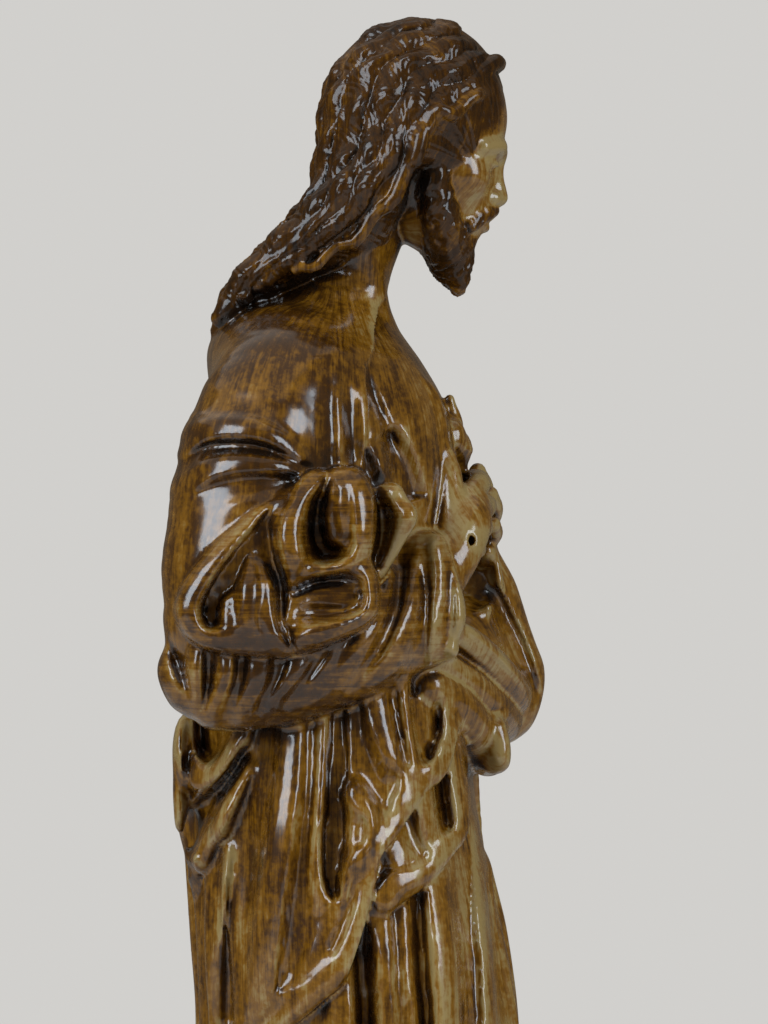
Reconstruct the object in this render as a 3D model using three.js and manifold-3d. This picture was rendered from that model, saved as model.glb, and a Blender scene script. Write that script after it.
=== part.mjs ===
// A standing robed and bearded figure on a low base, cast in one piece.
// The mantle lies over the right shoulder and is bunched at the elbow, both forearms come up to the chest,
// and the tunic falls in pleats to the bare feet. The figure faces -Y, its right side is -X, and +Z is up.
// It is worked up as clay is: soft masses first, then tubes for limbs, locks and rolled cloth, then folds
// that raise or hollow the surface along a line. All sizes are millimetres.
import * as THREE from "three";
import Module from "manifold-3d";

// Driving dimensions
const baseHeight = 28;
const baseHalfWidth = 96;
const baseHalfDepth = 84;
const standBack = 15; // the plumb line through the crown stands this far behind the middle of the base
// The right side is laid out as it looks from the right, at this distance and level
const eye = { distance: 1500, y: -14.7, z: 459.3 };
const headTilt = THREE.MathUtils.degToRad(17);
const headTurn = THREE.MathUtils.degToRad(4);
const headCentre = new THREE.Vector3(0, -26, 582);
const mantleThickness = 4.5;
const cornerThickness = 3.2;
const bodyTop = 534;
const bodyFoot = 26; // just inside the base
const pleatTop = 410;
const squareness = 2.2; // of the body's section: 2 is an ellipse
const crestShare = 2.5; // how much more a crest line counts than a valley line
const blendArea = 4.5; // how softly neighbouring lines share their heights
const foldReach = 12; // folds are left out further than this from a surface
const cellSize = 2.1;
const figureTriangles = 9100;
const finish = { color: 0x6b4014, roughness: 0.3, metalness: 0 };

const { clamp, lerp, smoothstep, degToRad, euclideanModulo } = THREE.MathUtils;

// Soft joins between two distances
function softUnion(a, b, soft) {
  const overlap = Math.max(soft - Math.abs(a - b), 0);
  return Math.min(a, b) - (soft ? (overlap * overlap) / (4 * soft) : 0);
}

// Where a point appears in the middle plane when looked at from the eye, and the other way round
function appears(x, y, z) {
  const scale = eye.distance / (eye.distance + x);
  return [eye.y + (y - eye.y) * scale, eye.z + (z - eye.z) * scale];
}

function seen([x, y, z, ...rest]) {
  const scale = (eye.distance + x) / eye.distance;
  return [x, eye.y + (y - eye.y) * scale, eye.z + (z - eye.z) * scale, ...rest];
}

const bothSides = (make) => [-1, 1].map(make);

// Height of a soft ridge, 1 on its line and 0 at its reach
function swell(share) {
  const rest = Math.max(1 - share * share, 0);
  return rest * rest;
}

// A table of rows [z, value, value...] read at any height, smoothly
function byHeight(rows) {
  const reach = rows[0].length - 1;
  return (z) => {
    let i = 0;
    while (i < rows.length - 2 && z > rows[i + 1][0]) i++;
    const [low, high] = [rows[i], rows[i + 1]];
    const before = rows[Math.max(i - 1, 0)];
    const after = rows[Math.min(i + 2, rows.length - 1)];
    const span = high[0] - low[0];
    const t = clamp((z - low[0]) / span, 0, 1);
    const made = [];
    for (let k = 1; k <= reach; k++) {
      const slopeLow = ((high[k] - before[k]) / (high[0] - before[0] || 1)) * span;
      const slopeHigh = ((after[k] - low[k]) / (after[0] - low[0] || 1)) * span;
      const rise = high[k] - low[k];
      const bend = 3 * rise - 2 * slopeLow - slopeHigh;
      const twist = slopeLow + slopeHigh - 2 * rise;
      made.push(low[k] + t * (slopeLow + t * (bend + t * twist)));
    }
    return made;
  };
}

// An ellipsoid of clay, turned about X by tilt and then about Z by turn
function blob(centre, radii, { tilt = 0, turn = 0, soft = 4, cut = false } = {}) {
  const turned = new THREE.Matrix4().makeRotationFromEuler(new THREE.Euler(tilt, 0, turn, "ZYX"));
  const m = turned.transpose().elements;
  const [cx, cy, cz] = centre;
  const [rx, ry, rz] = radii;
  const reach = Math.max(rx, ry, rz);
  return {
    soft,
    cut,
    box: [cx - reach, cy - reach, cz - reach, cx + reach, cy + reach, cz + reach],
    at(x, y, z) {
      const [dx, dy, dz] = [x - cx, y - cy, z - cz];
      const ax = (m[0] * dx + m[4] * dy + m[8] * dz) / rx;
      const ay = (m[1] * dx + m[5] * dy + m[9] * dz) / ry;
      const az = (m[2] * dx + m[6] * dy + m[10] * dz) / rz;
      const near = Math.hypot(ax, ay, az);
      const slope = Math.hypot(ax / rx, ay / ry, az / rz);
      return slope > 1e-9 ? (near * (near - 1)) / slope : -Math.min(rx, ry, rz);
    },
  };
}

// A tube of clay through rows [x, y, z, radius]
function tube(rows, { soft = 3, cut = false, steps = 5 } = {}) {
  const line = new THREE.CatmullRomCurve3(rows.map(([x, y, z]) => new THREE.Vector3(x, y, z)));
  const count = steps * (rows.length - 1);
  const made = [];
  for (let i = 0; i <= count; i++) {
    const t = i / count;
    const point = line.getPoint(t);
    const row = Math.min(Math.floor(t * (rows.length - 1)), rows.length - 2);
    const share = t * (rows.length - 1) - row;
    const radius = lerp(rows[row][3], rows[row + 1][3], smoothstep(share, 0, 1));
    made.push([...point.toArray(), radius]);
  }
  const low = [0, 1, 2].map((k) => Math.min(...made.map((p) => p[k] - p[3])));
  const high = [0, 1, 2].map((k) => Math.max(...made.map((p) => p[k] + p[3])));
  return {
    soft,
    cut,
    box: [...low, ...high],
    at(x, y, z) {
      let best = Infinity;
      for (let i = 0; i < count; i++) {
        const [p, q] = [made[i], made[i + 1]];
        const [ex, ey, ez] = [q[0] - p[0], q[1] - p[1], q[2] - p[2]];
        const along = (x - p[0]) * ex + (y - p[1]) * ey + (z - p[2]) * ez;
        const t = clamp(along / (ex * ex + ey * ey + ez * ez + 1e-9), 0, 1);
        const away = Math.hypot(x - p[0] - t * ex, y - p[1] - t * ey, z - p[2] - t * ez);
        best = Math.min(best, away - p[3] - t * (q[3] - p[3]));
      }
      return best;
    },
  };
}

// A cushion of clay: an outline drawn in the right side's view, laid at a depth and given a thickness.
// lean tips its middle plane by so much for each millimetre back and up, and round is the radius of its edge.
function cushion(outline, { depth, half, round = half, lean = [0, 0], soft = 2, cut = false } = {}) {
  const around = outline.map(([y, z]) => new THREE.Vector3(y, z, 0));
  const curve = new THREE.CatmullRomCurve3(around, true, "catmullrom", 0.5);
  const ring = curve.getPoints(outline.length * 3);
  const flat = new THREE.Box2().setFromPoints(ring);
  const middle = flat.getCenter(new THREE.Vector2());
  const leaning = Math.abs(lean[0]) * (flat.max.x - middle.x) + Math.abs(lean[1]) * (flat.max.y - middle.y);
  const spread = half + leaning;
  const slack = 6; // for the difference between where the outline appears and where it is
  return {
    soft,
    cut,
    box: [
      depth - spread, flat.min.x - slack, flat.min.y - slack,
      depth + spread, flat.max.x + slack, flat.max.y + slack,
    ],
    at(x, y, z) {
      const [u, v] = appears(x, y, z);
      let near = Infinity;
      let inside = false;
      for (let i = 0, j = ring.length - 1; i < ring.length; j = i++) {
        const [p, q] = [ring[j], ring[i]];
        const [eu, ev] = [q.x - p.x, q.y - p.y];
        const t = clamp(((u - p.x) * eu + (v - p.y) * ev) / (eu * eu + ev * ev + 1e-9), 0, 1);
        near = Math.min(near, (u - p.x - t * eu) ** 2 + (v - p.y - t * ev) ** 2);
        if (p.y > v !== q.y > v && u < p.x + ((v - p.y) * eu) / ev) inside = !inside;
      }
      const edge = Math.sqrt(near) * (inside ? -1 : 1) + round;
      const face = Math.abs(x - depth - lean[0] * (y - middle.x) - lean[1] * (z - middle.y)) - half + round;
      return Math.min(Math.max(edge, face), 0) + Math.hypot(Math.max(edge, 0), Math.max(face, 0)) - round;
    },
  };
}

// How each view lays its folds on the surface: across and up, and how much the surface faces that view
const views = {
  right: (x, y, z, mid) => [...appears(x, y, z), smoothstep(mid - x, -6, 14)],
  left: (x, y, z, mid) => [y, z, smoothstep(x - mid, -6, 14)],
  front: (x, y, z, mid) => [x, z, smoothstep(mid - y, -6, 14)],
  back: (x, y, z, mid) => [x, z, smoothstep(y - mid, -6, 14)],
};

// A fold raises (or, below zero, hollows) the surface along a line drawn in one view, from its top down.
// reach is how far it spreads to either side: to the back and to the front of a line seen from a side.
function fold(view, line, rise, reach, { mid = 0, fade = 0.25 } = {}) {
  const curve = new THREE.SplineCurve(line.map(([u, v]) => new THREE.Vector2(u, v)));
  const points = curve.getPoints(4 * (line.length - 1));
  const most = Math.max(...reach);
  const box = new THREE.Box2().setFromPoints(points).expandByScalar(most);
  const count = points.length - 1;
  return (x, y, z) => {
    const [u, v, facing] = views[view](x, y, z, mid);
    if (facing === 0 || u < box.min.x || u > box.max.x || v < box.min.y || v > box.max.y) return 0;
    let near = Infinity;
    let side = 0;
    let share = 0;
    for (let i = 0; i < count; i++) {
      const [p, q] = [points[i], points[i + 1]];
      const [eu, ev] = [q.x - p.x, q.y - p.y];
      const t = clamp(((u - p.x) * eu + (v - p.y) * ev) / (eu * eu + ev * ev + 1e-9), 0, 1);
      const [du, dv] = [u - p.x - t * eu, v - p.y - t * ev];
      const away = du * du + dv * dv;
      if (away < near) {
        near = away;
        side = eu * dv - ev * du;
        share = (i + t) / count;
      }
    }
    const spread = side > 0 ? reach[0] : reach[1];
    const ends = fade ? clamp(share / fade, 0, 1) * clamp((1 - share) / fade, 0, 1) : 1;
    return rise * facing * smoothstep(ends, -0.3, 1) * swell(Math.sqrt(near) / spread);
  };
}

// Cloth drawn in the right view by its crest lines and valley lines, rows of [back, up, height]. Every place
// takes its height from the lines near it, and crests count for more, so they come out broader than valleys.
function relief(crests, valleys, { mid = 0, reach = 9, rise = 1.3 } = {}) {
  const lineOf = (rows, share) => {
    const curve = new THREE.CatmullRomCurve3(rows.map((row) => new THREE.Vector3(...row)));
    return { points: curve.getPoints(4 * (rows.length - 1)), share };
  };
  const lines = [...crests.map((rows) => lineOf(rows, crestShare)),
    ...valleys.map((rows) => lineOf(rows, 1))];
  const box = new THREE.Box3().setFromPoints(lines.flatMap((line) => line.points)).expandByScalar(reach);
  return (x, y, z) => {
    const [u, v, facing] = views.right(x, y, z, mid);
    if (facing === 0 || u < box.min.x || u > box.max.x || v < box.min.y || v > box.max.y) return 0;
    let nearest = Infinity;
    let heights = 0;
    let weights = 0;
    for (const { points, share } of lines) {
      let near = Infinity;
      let height = 0;
      for (let i = 0; i < points.length - 1; i++) {
        const [p, q] = [points[i], points[i + 1]];
        const [eu, ev] = [q.x - p.x, q.y - p.y];
        const t = clamp(((u - p.x) * eu + (v - p.y) * ev) / (eu * eu + ev * ev + 1e-9), 0, 1);
        const away = (u - p.x - t * eu) ** 2 + (v - p.y - t * ev) ** 2;
        if (away < near) {
          near = away;
          height = lerp(p.z, q.z, t);
        }
      }
      const weight = share / (near + blendArea) ** 2;
      heights += weight * height;
      weights += weight;
      nearest = Math.min(nearest, near);
    }
    return ((rise * heights) / weights) * facing * smoothstep(-Math.sqrt(nearest), -reach, -0.4 * reach);
  };
}

// A form is a group of shapes joined softly, with folds on it
function form(soft, shapes, folds = []) {
  const solid = shapes.filter((s) => !s.cut);
  const box = [0, 1, 2, 3, 4, 5].map((k) =>
    k < 3 ? Math.min(...solid.map((s) => s.box[k])) : Math.max(...solid.map((s) => s.box[k])),
  );
  return {
    soft,
    box,
    at(x, y, z) {
      let d = Infinity;
      for (const s of shapes) {
        const made = s.at(x, y, z);
        d = s.cut ? -softUnion(-d, made, s.soft) : softUnion(d, made, s.soft);
      }
      if (Math.abs(d) > foldReach) return d;
      return folds.reduce((left, f) => left - f(x, y, z), d);
    },
  };
}

// How far a point is outside a box
function outside(box, x, y, z) {
  const dx = Math.max(box[0] - x, 0, x - box[3]);
  const dy = Math.max(box[1] - y, 0, y - box[4]);
  const dz = Math.max(box[2] - z, 0, z - box[5]);
  return Math.hypot(dx, dy, dz);
}

// The torso and skirts: height, half width, back and front
const bodyShape = byHeight([
  [26, 70, 45, -67],
  [40, 71, 46, -69],
  [100, 69, 44, -67],
  [200, 66, 41, -62],
  [290, 64, 38, -57],
  [320, 63, 40, -53],
  [345, 62, 42, -47],
  [370, 60, 44, -44],
  [400, 56, 40, -41],
  [430, 54, 38, -39],
  [455, 55, 38, -39],
  [480, 55, 38, -38],
  [495, 51, 37, -35],
  [508, 42, 35, -28],
  [518, 30, 31, -21],
  [527, 20, 22, -15],
  [534, 12, 12, -10],
]);
const angleStep = degToRad(1);

function wrapped(degrees) {
  return euclideanModulo(degrees + 180, 360) - 180;
}

// The angle round the body of a point that shows on its right side: 0 in front, 90 at the right
function angleOnRight([y, z]) {
  const [halfWidth, back, front] = bodyShape(z);
  const middle = (back + front) / 2;
  const across = Math.abs(y - middle) / ((back - front) / 2 + mantleThickness);
  const x = -(halfWidth + mantleThickness) * Math.max(1 - across ** squareness, 0) ** (1 / squareness);
  return [Math.atan2(-x, middle - y) / angleStep, z];
}

// Where the mantle's lower edge hangs, by the angle round the body, starting left of the front
const mantleHem = byHeight([
  [-20, 392], [0, 396], [12, 394],
  ...[
    [-40, 393], [-37, 387], [-35, 378], [-32, 372], [-27, 370], [-25, 366], [-21, 360], [-17, 354],
      [-13, 349.6],
    [-12, 343], [-10, 334], [-7, 323], [-4, 314], [-1, 308], [4, 304], [12, 297], [23, 288], [33, 280],
  ].map(angleOnRight),
  [150, 252], [165, 205], [180, 158], [196, 118], [214, 95], [245, 86], [280, 88], [300, 106], [314, 170],
  [324, 265], [334, 352], [350, 392], [360, 396],
]);
// The corner of the mantle that hangs out below that edge
const cornerHem = byHeight([
  [-43, 400], [-41.5, 357], [-40.4, 352.4], [-37, 349], [-33, 344], [-29, 339], [-24, 336],
  [-19, 333], [-14.6, 328], [-12, 324], [-8, 335], [-4, 400],
].map(angleOnRight));
// How far round the mantle's front edges lie, right and left, by height
const lapels = byHeight([
  [372, 0, 0], [386, 12, -14], [405, 50, -50], [440, 80, -66], [472, 84, -74], [492, 82, -76],
    [505, 80, -72],
  [516, 64, -58], [526, 44, -42], [534, 34, -34],
]);

// Pleats of the tunic: angle at the waist and at the hem, rise and reach
const pleats = [];
for (let i = 0; i < 21; i++) {
  if (i > 0 && i < 6) continue; // the right side has folds of its own
  const turn = i * 17.2;
  const drift = Math.sin(i * 2.4) * 4;
  pleats.push([turn + drift, turn + drift * 2, 4.6 + 1.4 * Math.sin(i * 1.7), 8.5 + 2 * Math.cos(i * 2.9)]);
}
// Long folds down the back and the left of the mantle: angle and height at top and foot, rise and reach
const longFolds = [
  [124, 380, 132, 240, 4.5, 8], [140, 410, 143, 225, 3.6, 7], [152, 470, 158, 180, 5, 9],
    [172, 490, 170, 120, 5.6, 10],
  [194, 490, 189, 95, 4.6, 8], [212, 470, 207, 70, 5.4, 10], [232, 430, 228, 70, 4.6, 8],
    [250, 400, 247, 70, 5.4, 9],
  [268, 396, 268, 70, 4.6, 8], [286, 396, 289, 80, 5.4, 9], [302, 396, 307, 120, 4.4, 7],
    [314, 396, 319, 200, 4.4, 6],
];

// How far a point lies below a hem, square to it
function aboveHem(hem, turn, z, perDegree) {
  const slope = (hem(turn + 1)[0] - hem(turn - 1)[0]) / (2 * perDegree);
  return (hem(turn)[0] - z) / Math.hypot(1, slope);
}

function bodyAt(x, y, z) {
  const [halfWidth, back, front] = bodyShape(clamp(z, bodyFoot, bodyTop));
  const middle = (back + front) / 2;
  const halfDepth = (back - front) / 2;
  const away = Math.hypot(x, y - middle) + 1e-6;
  const [across, along] = [Math.abs(x) / halfWidth, Math.abs(y - middle) / halfDepth];
  const round = (across ** squareness + along ** squareness) ** (1 / squareness);
  const slope = z > 480 ? (bodyShape(Math.min(z + 3, bodyTop))[0] - bodyShape(z - 3)[0]) / 6 : 0;
  const bare = (away * (1 - 1 / Math.max(round, 1e-3))) / Math.hypot(1, slope);
  if (Math.abs(bare) > 2 * foldReach) return Math.max(bare - 8, z - bodyTop, bodyFoot - z);
  const degrees = Math.atan2(-x, middle - y) / angleStep;
  const turn = (degrees + 360) % 360;
  const perDegree = away * angleStep;
  let tunic = bare;
  if (z < pleatTop) {
    const down = (pleatTop - z) / pleatTop;
    for (const [waist, hem, rise, reach] of pleats) {
      const off = Math.abs(wrapped(turn - lerp(waist, hem, down))) * perDegree;
      if (off < reach) tunic -= rise * smoothstep(down, 0, 0.55) * swell(off / reach);
    }
  }
  for (const f of tunicFolds) tunic -= f(x, y, z);
  let cloth = bare - mantleThickness + 3 * smoothstep(z, 488, 516); // thinner towards the neck
  for (const [topTurn, top, footTurn, foot, rise, reach] of longFolds) {
    const t = (top - z) / (top - foot);
    if (t < -0.15) continue;
    const off = Math.abs(wrapped(turn - lerp(topTurn, footTurn, t))) * perDegree;
    if (off < reach) cloth -= rise * smoothstep(t, -0.1, 0.5) * swell(off / reach);
  }
  for (const f of mantleFolds) cloth -= f(x, y, z);
  let mantle = Math.max(cloth, aboveHem(mantleHem, wrapped(turn - 160) + 160, z, perDegree));
  if (z > 372) {
    const [lapelRight, lapelLeft] = lapels(z);
    mantle = Math.max(mantle, Math.min(lapelRight - degrees, degrees - lapelLeft) * perDegree);
  }
  let made = Math.min(tunic, mantle);
  if (turn > 20 && turn < 90) {
    let corner = bare - cornerThickness;
    for (const f of cornerFolds) corner -= f(x, y, z);
    made = Math.min(made, Math.max(corner, aboveHem(cornerHem, turn, z, perDegree), z - 400));
  }
  return Math.max(made, z - bodyTop, bodyFoot - z);
}

const right = (line, rise, reach, options) => fold("right", line, rise, reach, options);

const tunicFolds = [
  right([[-4, 506], [-8, 490], [-11, 476]], 2.6, [3, 5]),
  right([[-7, 508], [-13, 493], [-18, 480]], -2, [2, 3]),
  right([[-12, 492], [-14, 482], [-14, 470]], 2.5, [5, 4]),
  right([[-14, 486], [-20, 476], [-24, 462]], -4.4, [7, 7], { fade: 0.15 }),
  relief([
    [[-1, 308, 2], [-1.5, 290, 3.4], [-2, 250, 3], [-3, 120, 1]],
    [[-14, 332, 1], [-15.6, 315, 4], [-17, 290, 4.4], [-19, 120, 1]],
    [[-20.4, 332, 1], [-22, 300, 2.4], [-23.6, 280, 2], [-26, 120, 1]],
    [[-30, 348, 2], [-33, 320, 5], [-35, 290, 5], [-40, 120, 1]],
    [[-46, 352, 1], [-48, 320, 3], [-50, 290, 3], [-54, 120, 1]],
  ], [
    [[-5, 328, -3], [-7.4, 300, -5], [-8.6, 280, -5], [-11, 120, -1]],
    [[-18.6, 332, -1], [-19.8, 300, 0], [-21, 280, 0], [-23, 120, 0]],
    [[-25, 334, -1], [-27, 300, -1.6], [-28.6, 280, -1.6], [-32, 120, 0]],
    [[-42, 352, 0], [-43, 320, 0.4], [-45, 290, 0.4], [-49, 120, 0]],
    [[-50.6, 336, -1], [-51.6, 322, -3], [-53, 306, -2], [-56, 280, 0]],
  ], { reach: 9 }),
  fold("front", [[-17, 338], [-19, 320], [-18, 300]], -5, [3, 3]),
  fold("front", [[-9, 345], [-12, 300], [-14, 200], [-16, 80]], 3, [5, 4], { fade: 0.1 }),
  fold("front", [[8, 350], [10, 300], [12, 200], [12, 80]], 3, [5, 5], { fade: 0.1 }),
  fold("front", [[12, 500], [14, 480], [13, 462]], -2, [3, 3]),
  fold("front", [[24, 504], [28, 484], [28, 462]], 2.4, [4, 4]),
  fold("front", [[-22, 504], [-26, 488], [-27, 470]], 2, [4, 4]),
];

const mantleFolds = [
  right([[3, 508], [5, 490], [4, 472]], -4, [3, 4]),
  right([[-2, 508], [-3, 490], [-5, 473]], -4.4, [3, 5]),
  right([[1, 502], [0, 488], [0, 474]], 2.4, [2.4, 2]),
  right([[8, 498], [8, 486], [8, 474]], 2, [3, 2.4]),
  // below the elbow: the long folds down to the hem, and the deep one that ends in a loop
  relief([
    [[15, 396, 2.4], [16.4, 372, 4], [19, 355, 5.4], [21.4, 340, 6], [23.4, 330, 6.2], [25, 315, 6.2],
      [26.4, 300, 5.6], [28, 270, 4], [30, 220, 2]],
    [[4.8, 397, 2], [5.8, 375, 2.6], [6.8, 360, 3], [7.8, 350, 3], [7.8, 340, 3], [6.8, 333, 2.6],
      [4.6, 328.6, 2], [1, 327, 1.5]],
    [[-5, 365, 4], [-10.6, 357, 5.6], [-9.6, 347, 5.6], [-5, 340, 4.6], [-1, 331, 3]],
    [[-11, 400, 2], [-14.5, 388, 4], [-18, 379, 4.6], [-21.4, 370, 3.6]],
    [[-20.8, 402, 3], [-21.8, 390, 3.6], [-23.4, 380, 3.6], [-24.8, 370, 3]],
    [[-34.8, 398, 2], [-35.6, 386, 2.8], [-33.6, 377, 2]],
    [[3, 321, 2], [6, 313, 2.4], [12, 306, 2.2]],
    // the rolled edge
    [[-34, 381, 4], [-31, 375, 4], [-26.8, 372.4, 3], [-23.4, 367, 3.6], [-19.4, 361.6, 3.6],
      [-15.4, 355.6, 3.6], [-11.4, 350.6, 3.6], [-10.2, 343, 3.4], [-8.4, 334, 3], [-5.4, 323, 3],
      [-2.4, 315, 3], [0.4, 309.8, 3], [5, 306, 3], [13, 299, 3], [24, 290, 3], [34, 282, 2.6]],
  ], [
    [[1.6, 400, -6], [2, 375, -12], [2.8, 360, -12], [3.6, 348, -12], [3, 337, -9], [1, 331.6, -4]],
    [[9, 392, 0], [9.4, 365, 0], [11, 345, 0], [12.6, 325, 0.6], [15.4, 306, 1]],
    [[-3, 398, -2], [-5, 382, -1], [-11, 369, -1], [-16.6, 360, 0]],
    [[-18.4, 400, 0], [-20.2, 388, -1], [-22.4, 376, -1]],
    [[-25.6, 402, -6], [-27.4, 388, -10], [-29, 378, -7]],
    [[-31.6, 400, -3], [-31.8, 388, -5], [-31, 379, -3]],
    [[-7.4, 355.4, 2], [-7, 350, 2]],
    [[22.6, 396, 0], [25, 374, 0], [28.6, 356, 0], [32, 338, 0], [35, 320, 0], [37.6, 298, 0], [40, 260, 0]],
    [[-19, 371, 0], [-15, 364, 0], [-13.4, 356, 1]],
    [[-5, 338, 0], [-2, 325, 0], [3, 314, 0]],
  ], { reach: 9 }),
  // the loop of cloth behind the hip
  relief([
    [[50, 394, 3], [50, 381, 4.4], [46.6, 371, 4.6], [41, 373, 4.8], [36.2, 381, 4.4], [30.6, 390, 3]],
    [[29.6, 374, 1], [35.6, 364, 4], [41.6, 355, 5], [47.6, 344, 4.4]],
    [[38, 346, 1], [40, 325, 3], [41, 300, 3], [42, 240, 1]],
  ], [
    [[46.4, 390, -3], [46, 381, -6], [42.6, 380, -5.6], [38.8, 386, -3]],
    [[31.4, 378, -2], [37.6, 369, -4], [43.4, 361, -5.6], [48.6, 351, -5.6], [51, 342, -4]],
    [[26.6, 390, -1], [28, 376, -1.5], [33, 358, -1], [35.6, 340, -1], [37, 320, 0], [38, 290, 0]],
  ], { mid: -16, reach: 8 }),
  right([[53, 394], [54.4, 376], [52.6, 352], [48, 335]], 6, [6, 4], { mid: -14 }),
  // across the back between the shoulders, and the pull towards the left hip
  fold("back", [[-44, 500], [-24, 488], [4, 484], [32, 500]], 2.6, [6, 8]),
  fold("back", [[-50, 478], [-28, 462], [2, 456], [42, 482]], 3.2, [7, 9]),
  fold("back", [[-48, 450], [-26, 430], [8, 422], [46, 456]], 3, [7, 9]),
  fold("back", [[-46, 424], [-20, 400], [12, 392], [44, 420]], 2.4, [6, 8]),
  fold("back", [[-30, 420], [-6, 360], [14, 300], [24, 220]], 2.4, [7, 7]),
];

const cornerFolds = [
  relief([
    [[-26, 372, 2], [-28, 362, 3.4], [-30.4, 350, 2]],
    [[-37, 380, 2], [-39, 364, 3], [-39.8, 356, 3], [-38, 352, 3], [-33.4, 346, 3], [-28.6, 341.4, 3],
      [-24, 338.4, 3], [-19, 335.6, 3], [-15, 330.8, 2.6]],
    [[-17, 352, 1], [-20, 345, 1.6], [-24, 343, 1]],
  ], [
    [[-32.6, 378, -1.6], [-34.4, 364, -2], [-36, 354, -1]],
    [[-21.6, 362, -1], [-23.4, 352, -1], [-28, 343, 0]],
  ], { reach: 7 }),
];

// Right arm: the mantle over the shoulder and the upper arm
const armMid = -50;

const rightShoulder = form(16, [
  tube([[-34, 14, 503, 20], [-50, 22, 490, 25], [-60, 29, 466, 25.5], [-66, 34, 444, 24],
    [-68, 38, 424, 20]].map(seen), { soft: 6 }),
], [
  relief([
    [[52, 480, 1], [45, 486, 2.6], [34, 487, 3.2], [24, 484.6, 3], [14, 476.6, 2]],
    [[52, 468, 0.6], [43, 474.4, 2], [31, 476, 2.4], [18, 474.6, 2.4], [11, 471.6, 1.4]],
  ], [
    [[54, 474, 0], [44, 480, -0.8], [30, 480.8, -1.4], [18, 478, -1.6], [9, 471.4, -2]],
    [[50, 462, 0], [38, 467, -0.8], [26, 469.4, -1], [16, 470, -1]],
    [[46, 495, 0], [28, 494, 0], [12, 485, 0], [7, 477, -0.6]],
    [[50, 450, 0], [32, 457, 0], [20, 462, 0]],
  ], { mid: armMid, reach: 9 }),
]);

// The tunic's sleeve from the elbow to the cuff
const rightSleeve = form(4, [
  tube([[-66, 44, 404, 14], [-66, 34, 407, 20], [-63, 18, 410, 20.5], [-58, 0, 416, 20],
    [-50, -14, 421, 19], [-44, -24, 427, 17]].map(seen), { soft: 6 }),
  cushion([[-10, 446], [-20, 450], [-26, 452.5], [-32, 452.5], [-35, 450], [-37.5, 442], [-39.5, 434],
    [-41, 424], [-39, 417], [-39, 412], [-36, 410], [-30, 408.5], [-22, 407], [-12, 412]],
    { depth: -41, half: 14, round: 11, lean: [0.5, 0], soft: 3 }),
], [
  relief([
    [[-15, 449, 1], [-15.6, 438.3, 2], [-13, 426.7, 2.2], [-7, 415, 1.8], [0, 403.3, 1]],
    [[-25, 451, 0.6], [-25, 438, 1.6], [-23, 425, 2], [-17, 411, 1.6], [-10, 403.3, 1]],
    [[-32.6, 452, 1], [-33, 438.3, 1.8], [-32.8, 426.7, 1.8], [-31.6, 411, 1.2]],
    [[-38.6, 444, 1.4], [-40.6, 430, 1.8], [-40.4, 420, 1.8], [-37.6, 412, 1.2]],
    [[-4, 424, 2], [2, 412, 2], [9, 401, 1]],
    [[12, 414, 1], [15, 405, 2], [22, 396, 1]],
    [[27, 412, 2], [28, 402, 2], [31, 392, 1]],
    [[38.3, 413, 3], [38.3, 403.3, 3], [43.3, 391, 1]],
    [[47.5, 414, 3], [48.5, 406.7, 3], [47.5, 395, 1]],
    [[54.2, 440, 2], [58.7, 430, 2], [60, 421.7, 2], [59.2, 410, 2], [53.3, 398, 1]],
  ], [
    [[-11, 443, -2.4], [-9.6, 430, -1.6], [-3, 419, -1], [5, 405, -0.6], [12, 397, 0]],
    [[-20, 449, -2.4], [-20, 436, -1.6], [-17.6, 424, -1], [-11.6, 411.7, -0.8], [-4, 401, 0]],
    [[-27, 451, -0.6], [-28.2, 438, -1.4], [-28.4, 424, -1.4], [-27, 409, -1]],
    [[-36, 448, 0], [-36.8, 436, -0.6], [-36.6, 424, -0.6], [-35, 412, 0]],
    [[4, 412, -0.6], [9, 406, -1.2], [18, 396, -0.6]],
    [[20, 412, -0.6], [21, 404, -1], [27, 394, -0.6]],
    [[33, 413, -1], [34, 404, -1.5], [38, 393, -1]],
    [[43.5, 416, -2], [43.8, 403.3, -2.4], [45.3, 395, -1.4]],
    [[50.8, 438.3, -1], [54, 428.3, -2], [53.5, 418.3, -2.4], [53, 406.7, -2], [50.5, 399, -1]],
  ], { mid: armMid, reach: 7 }),
]);

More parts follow.
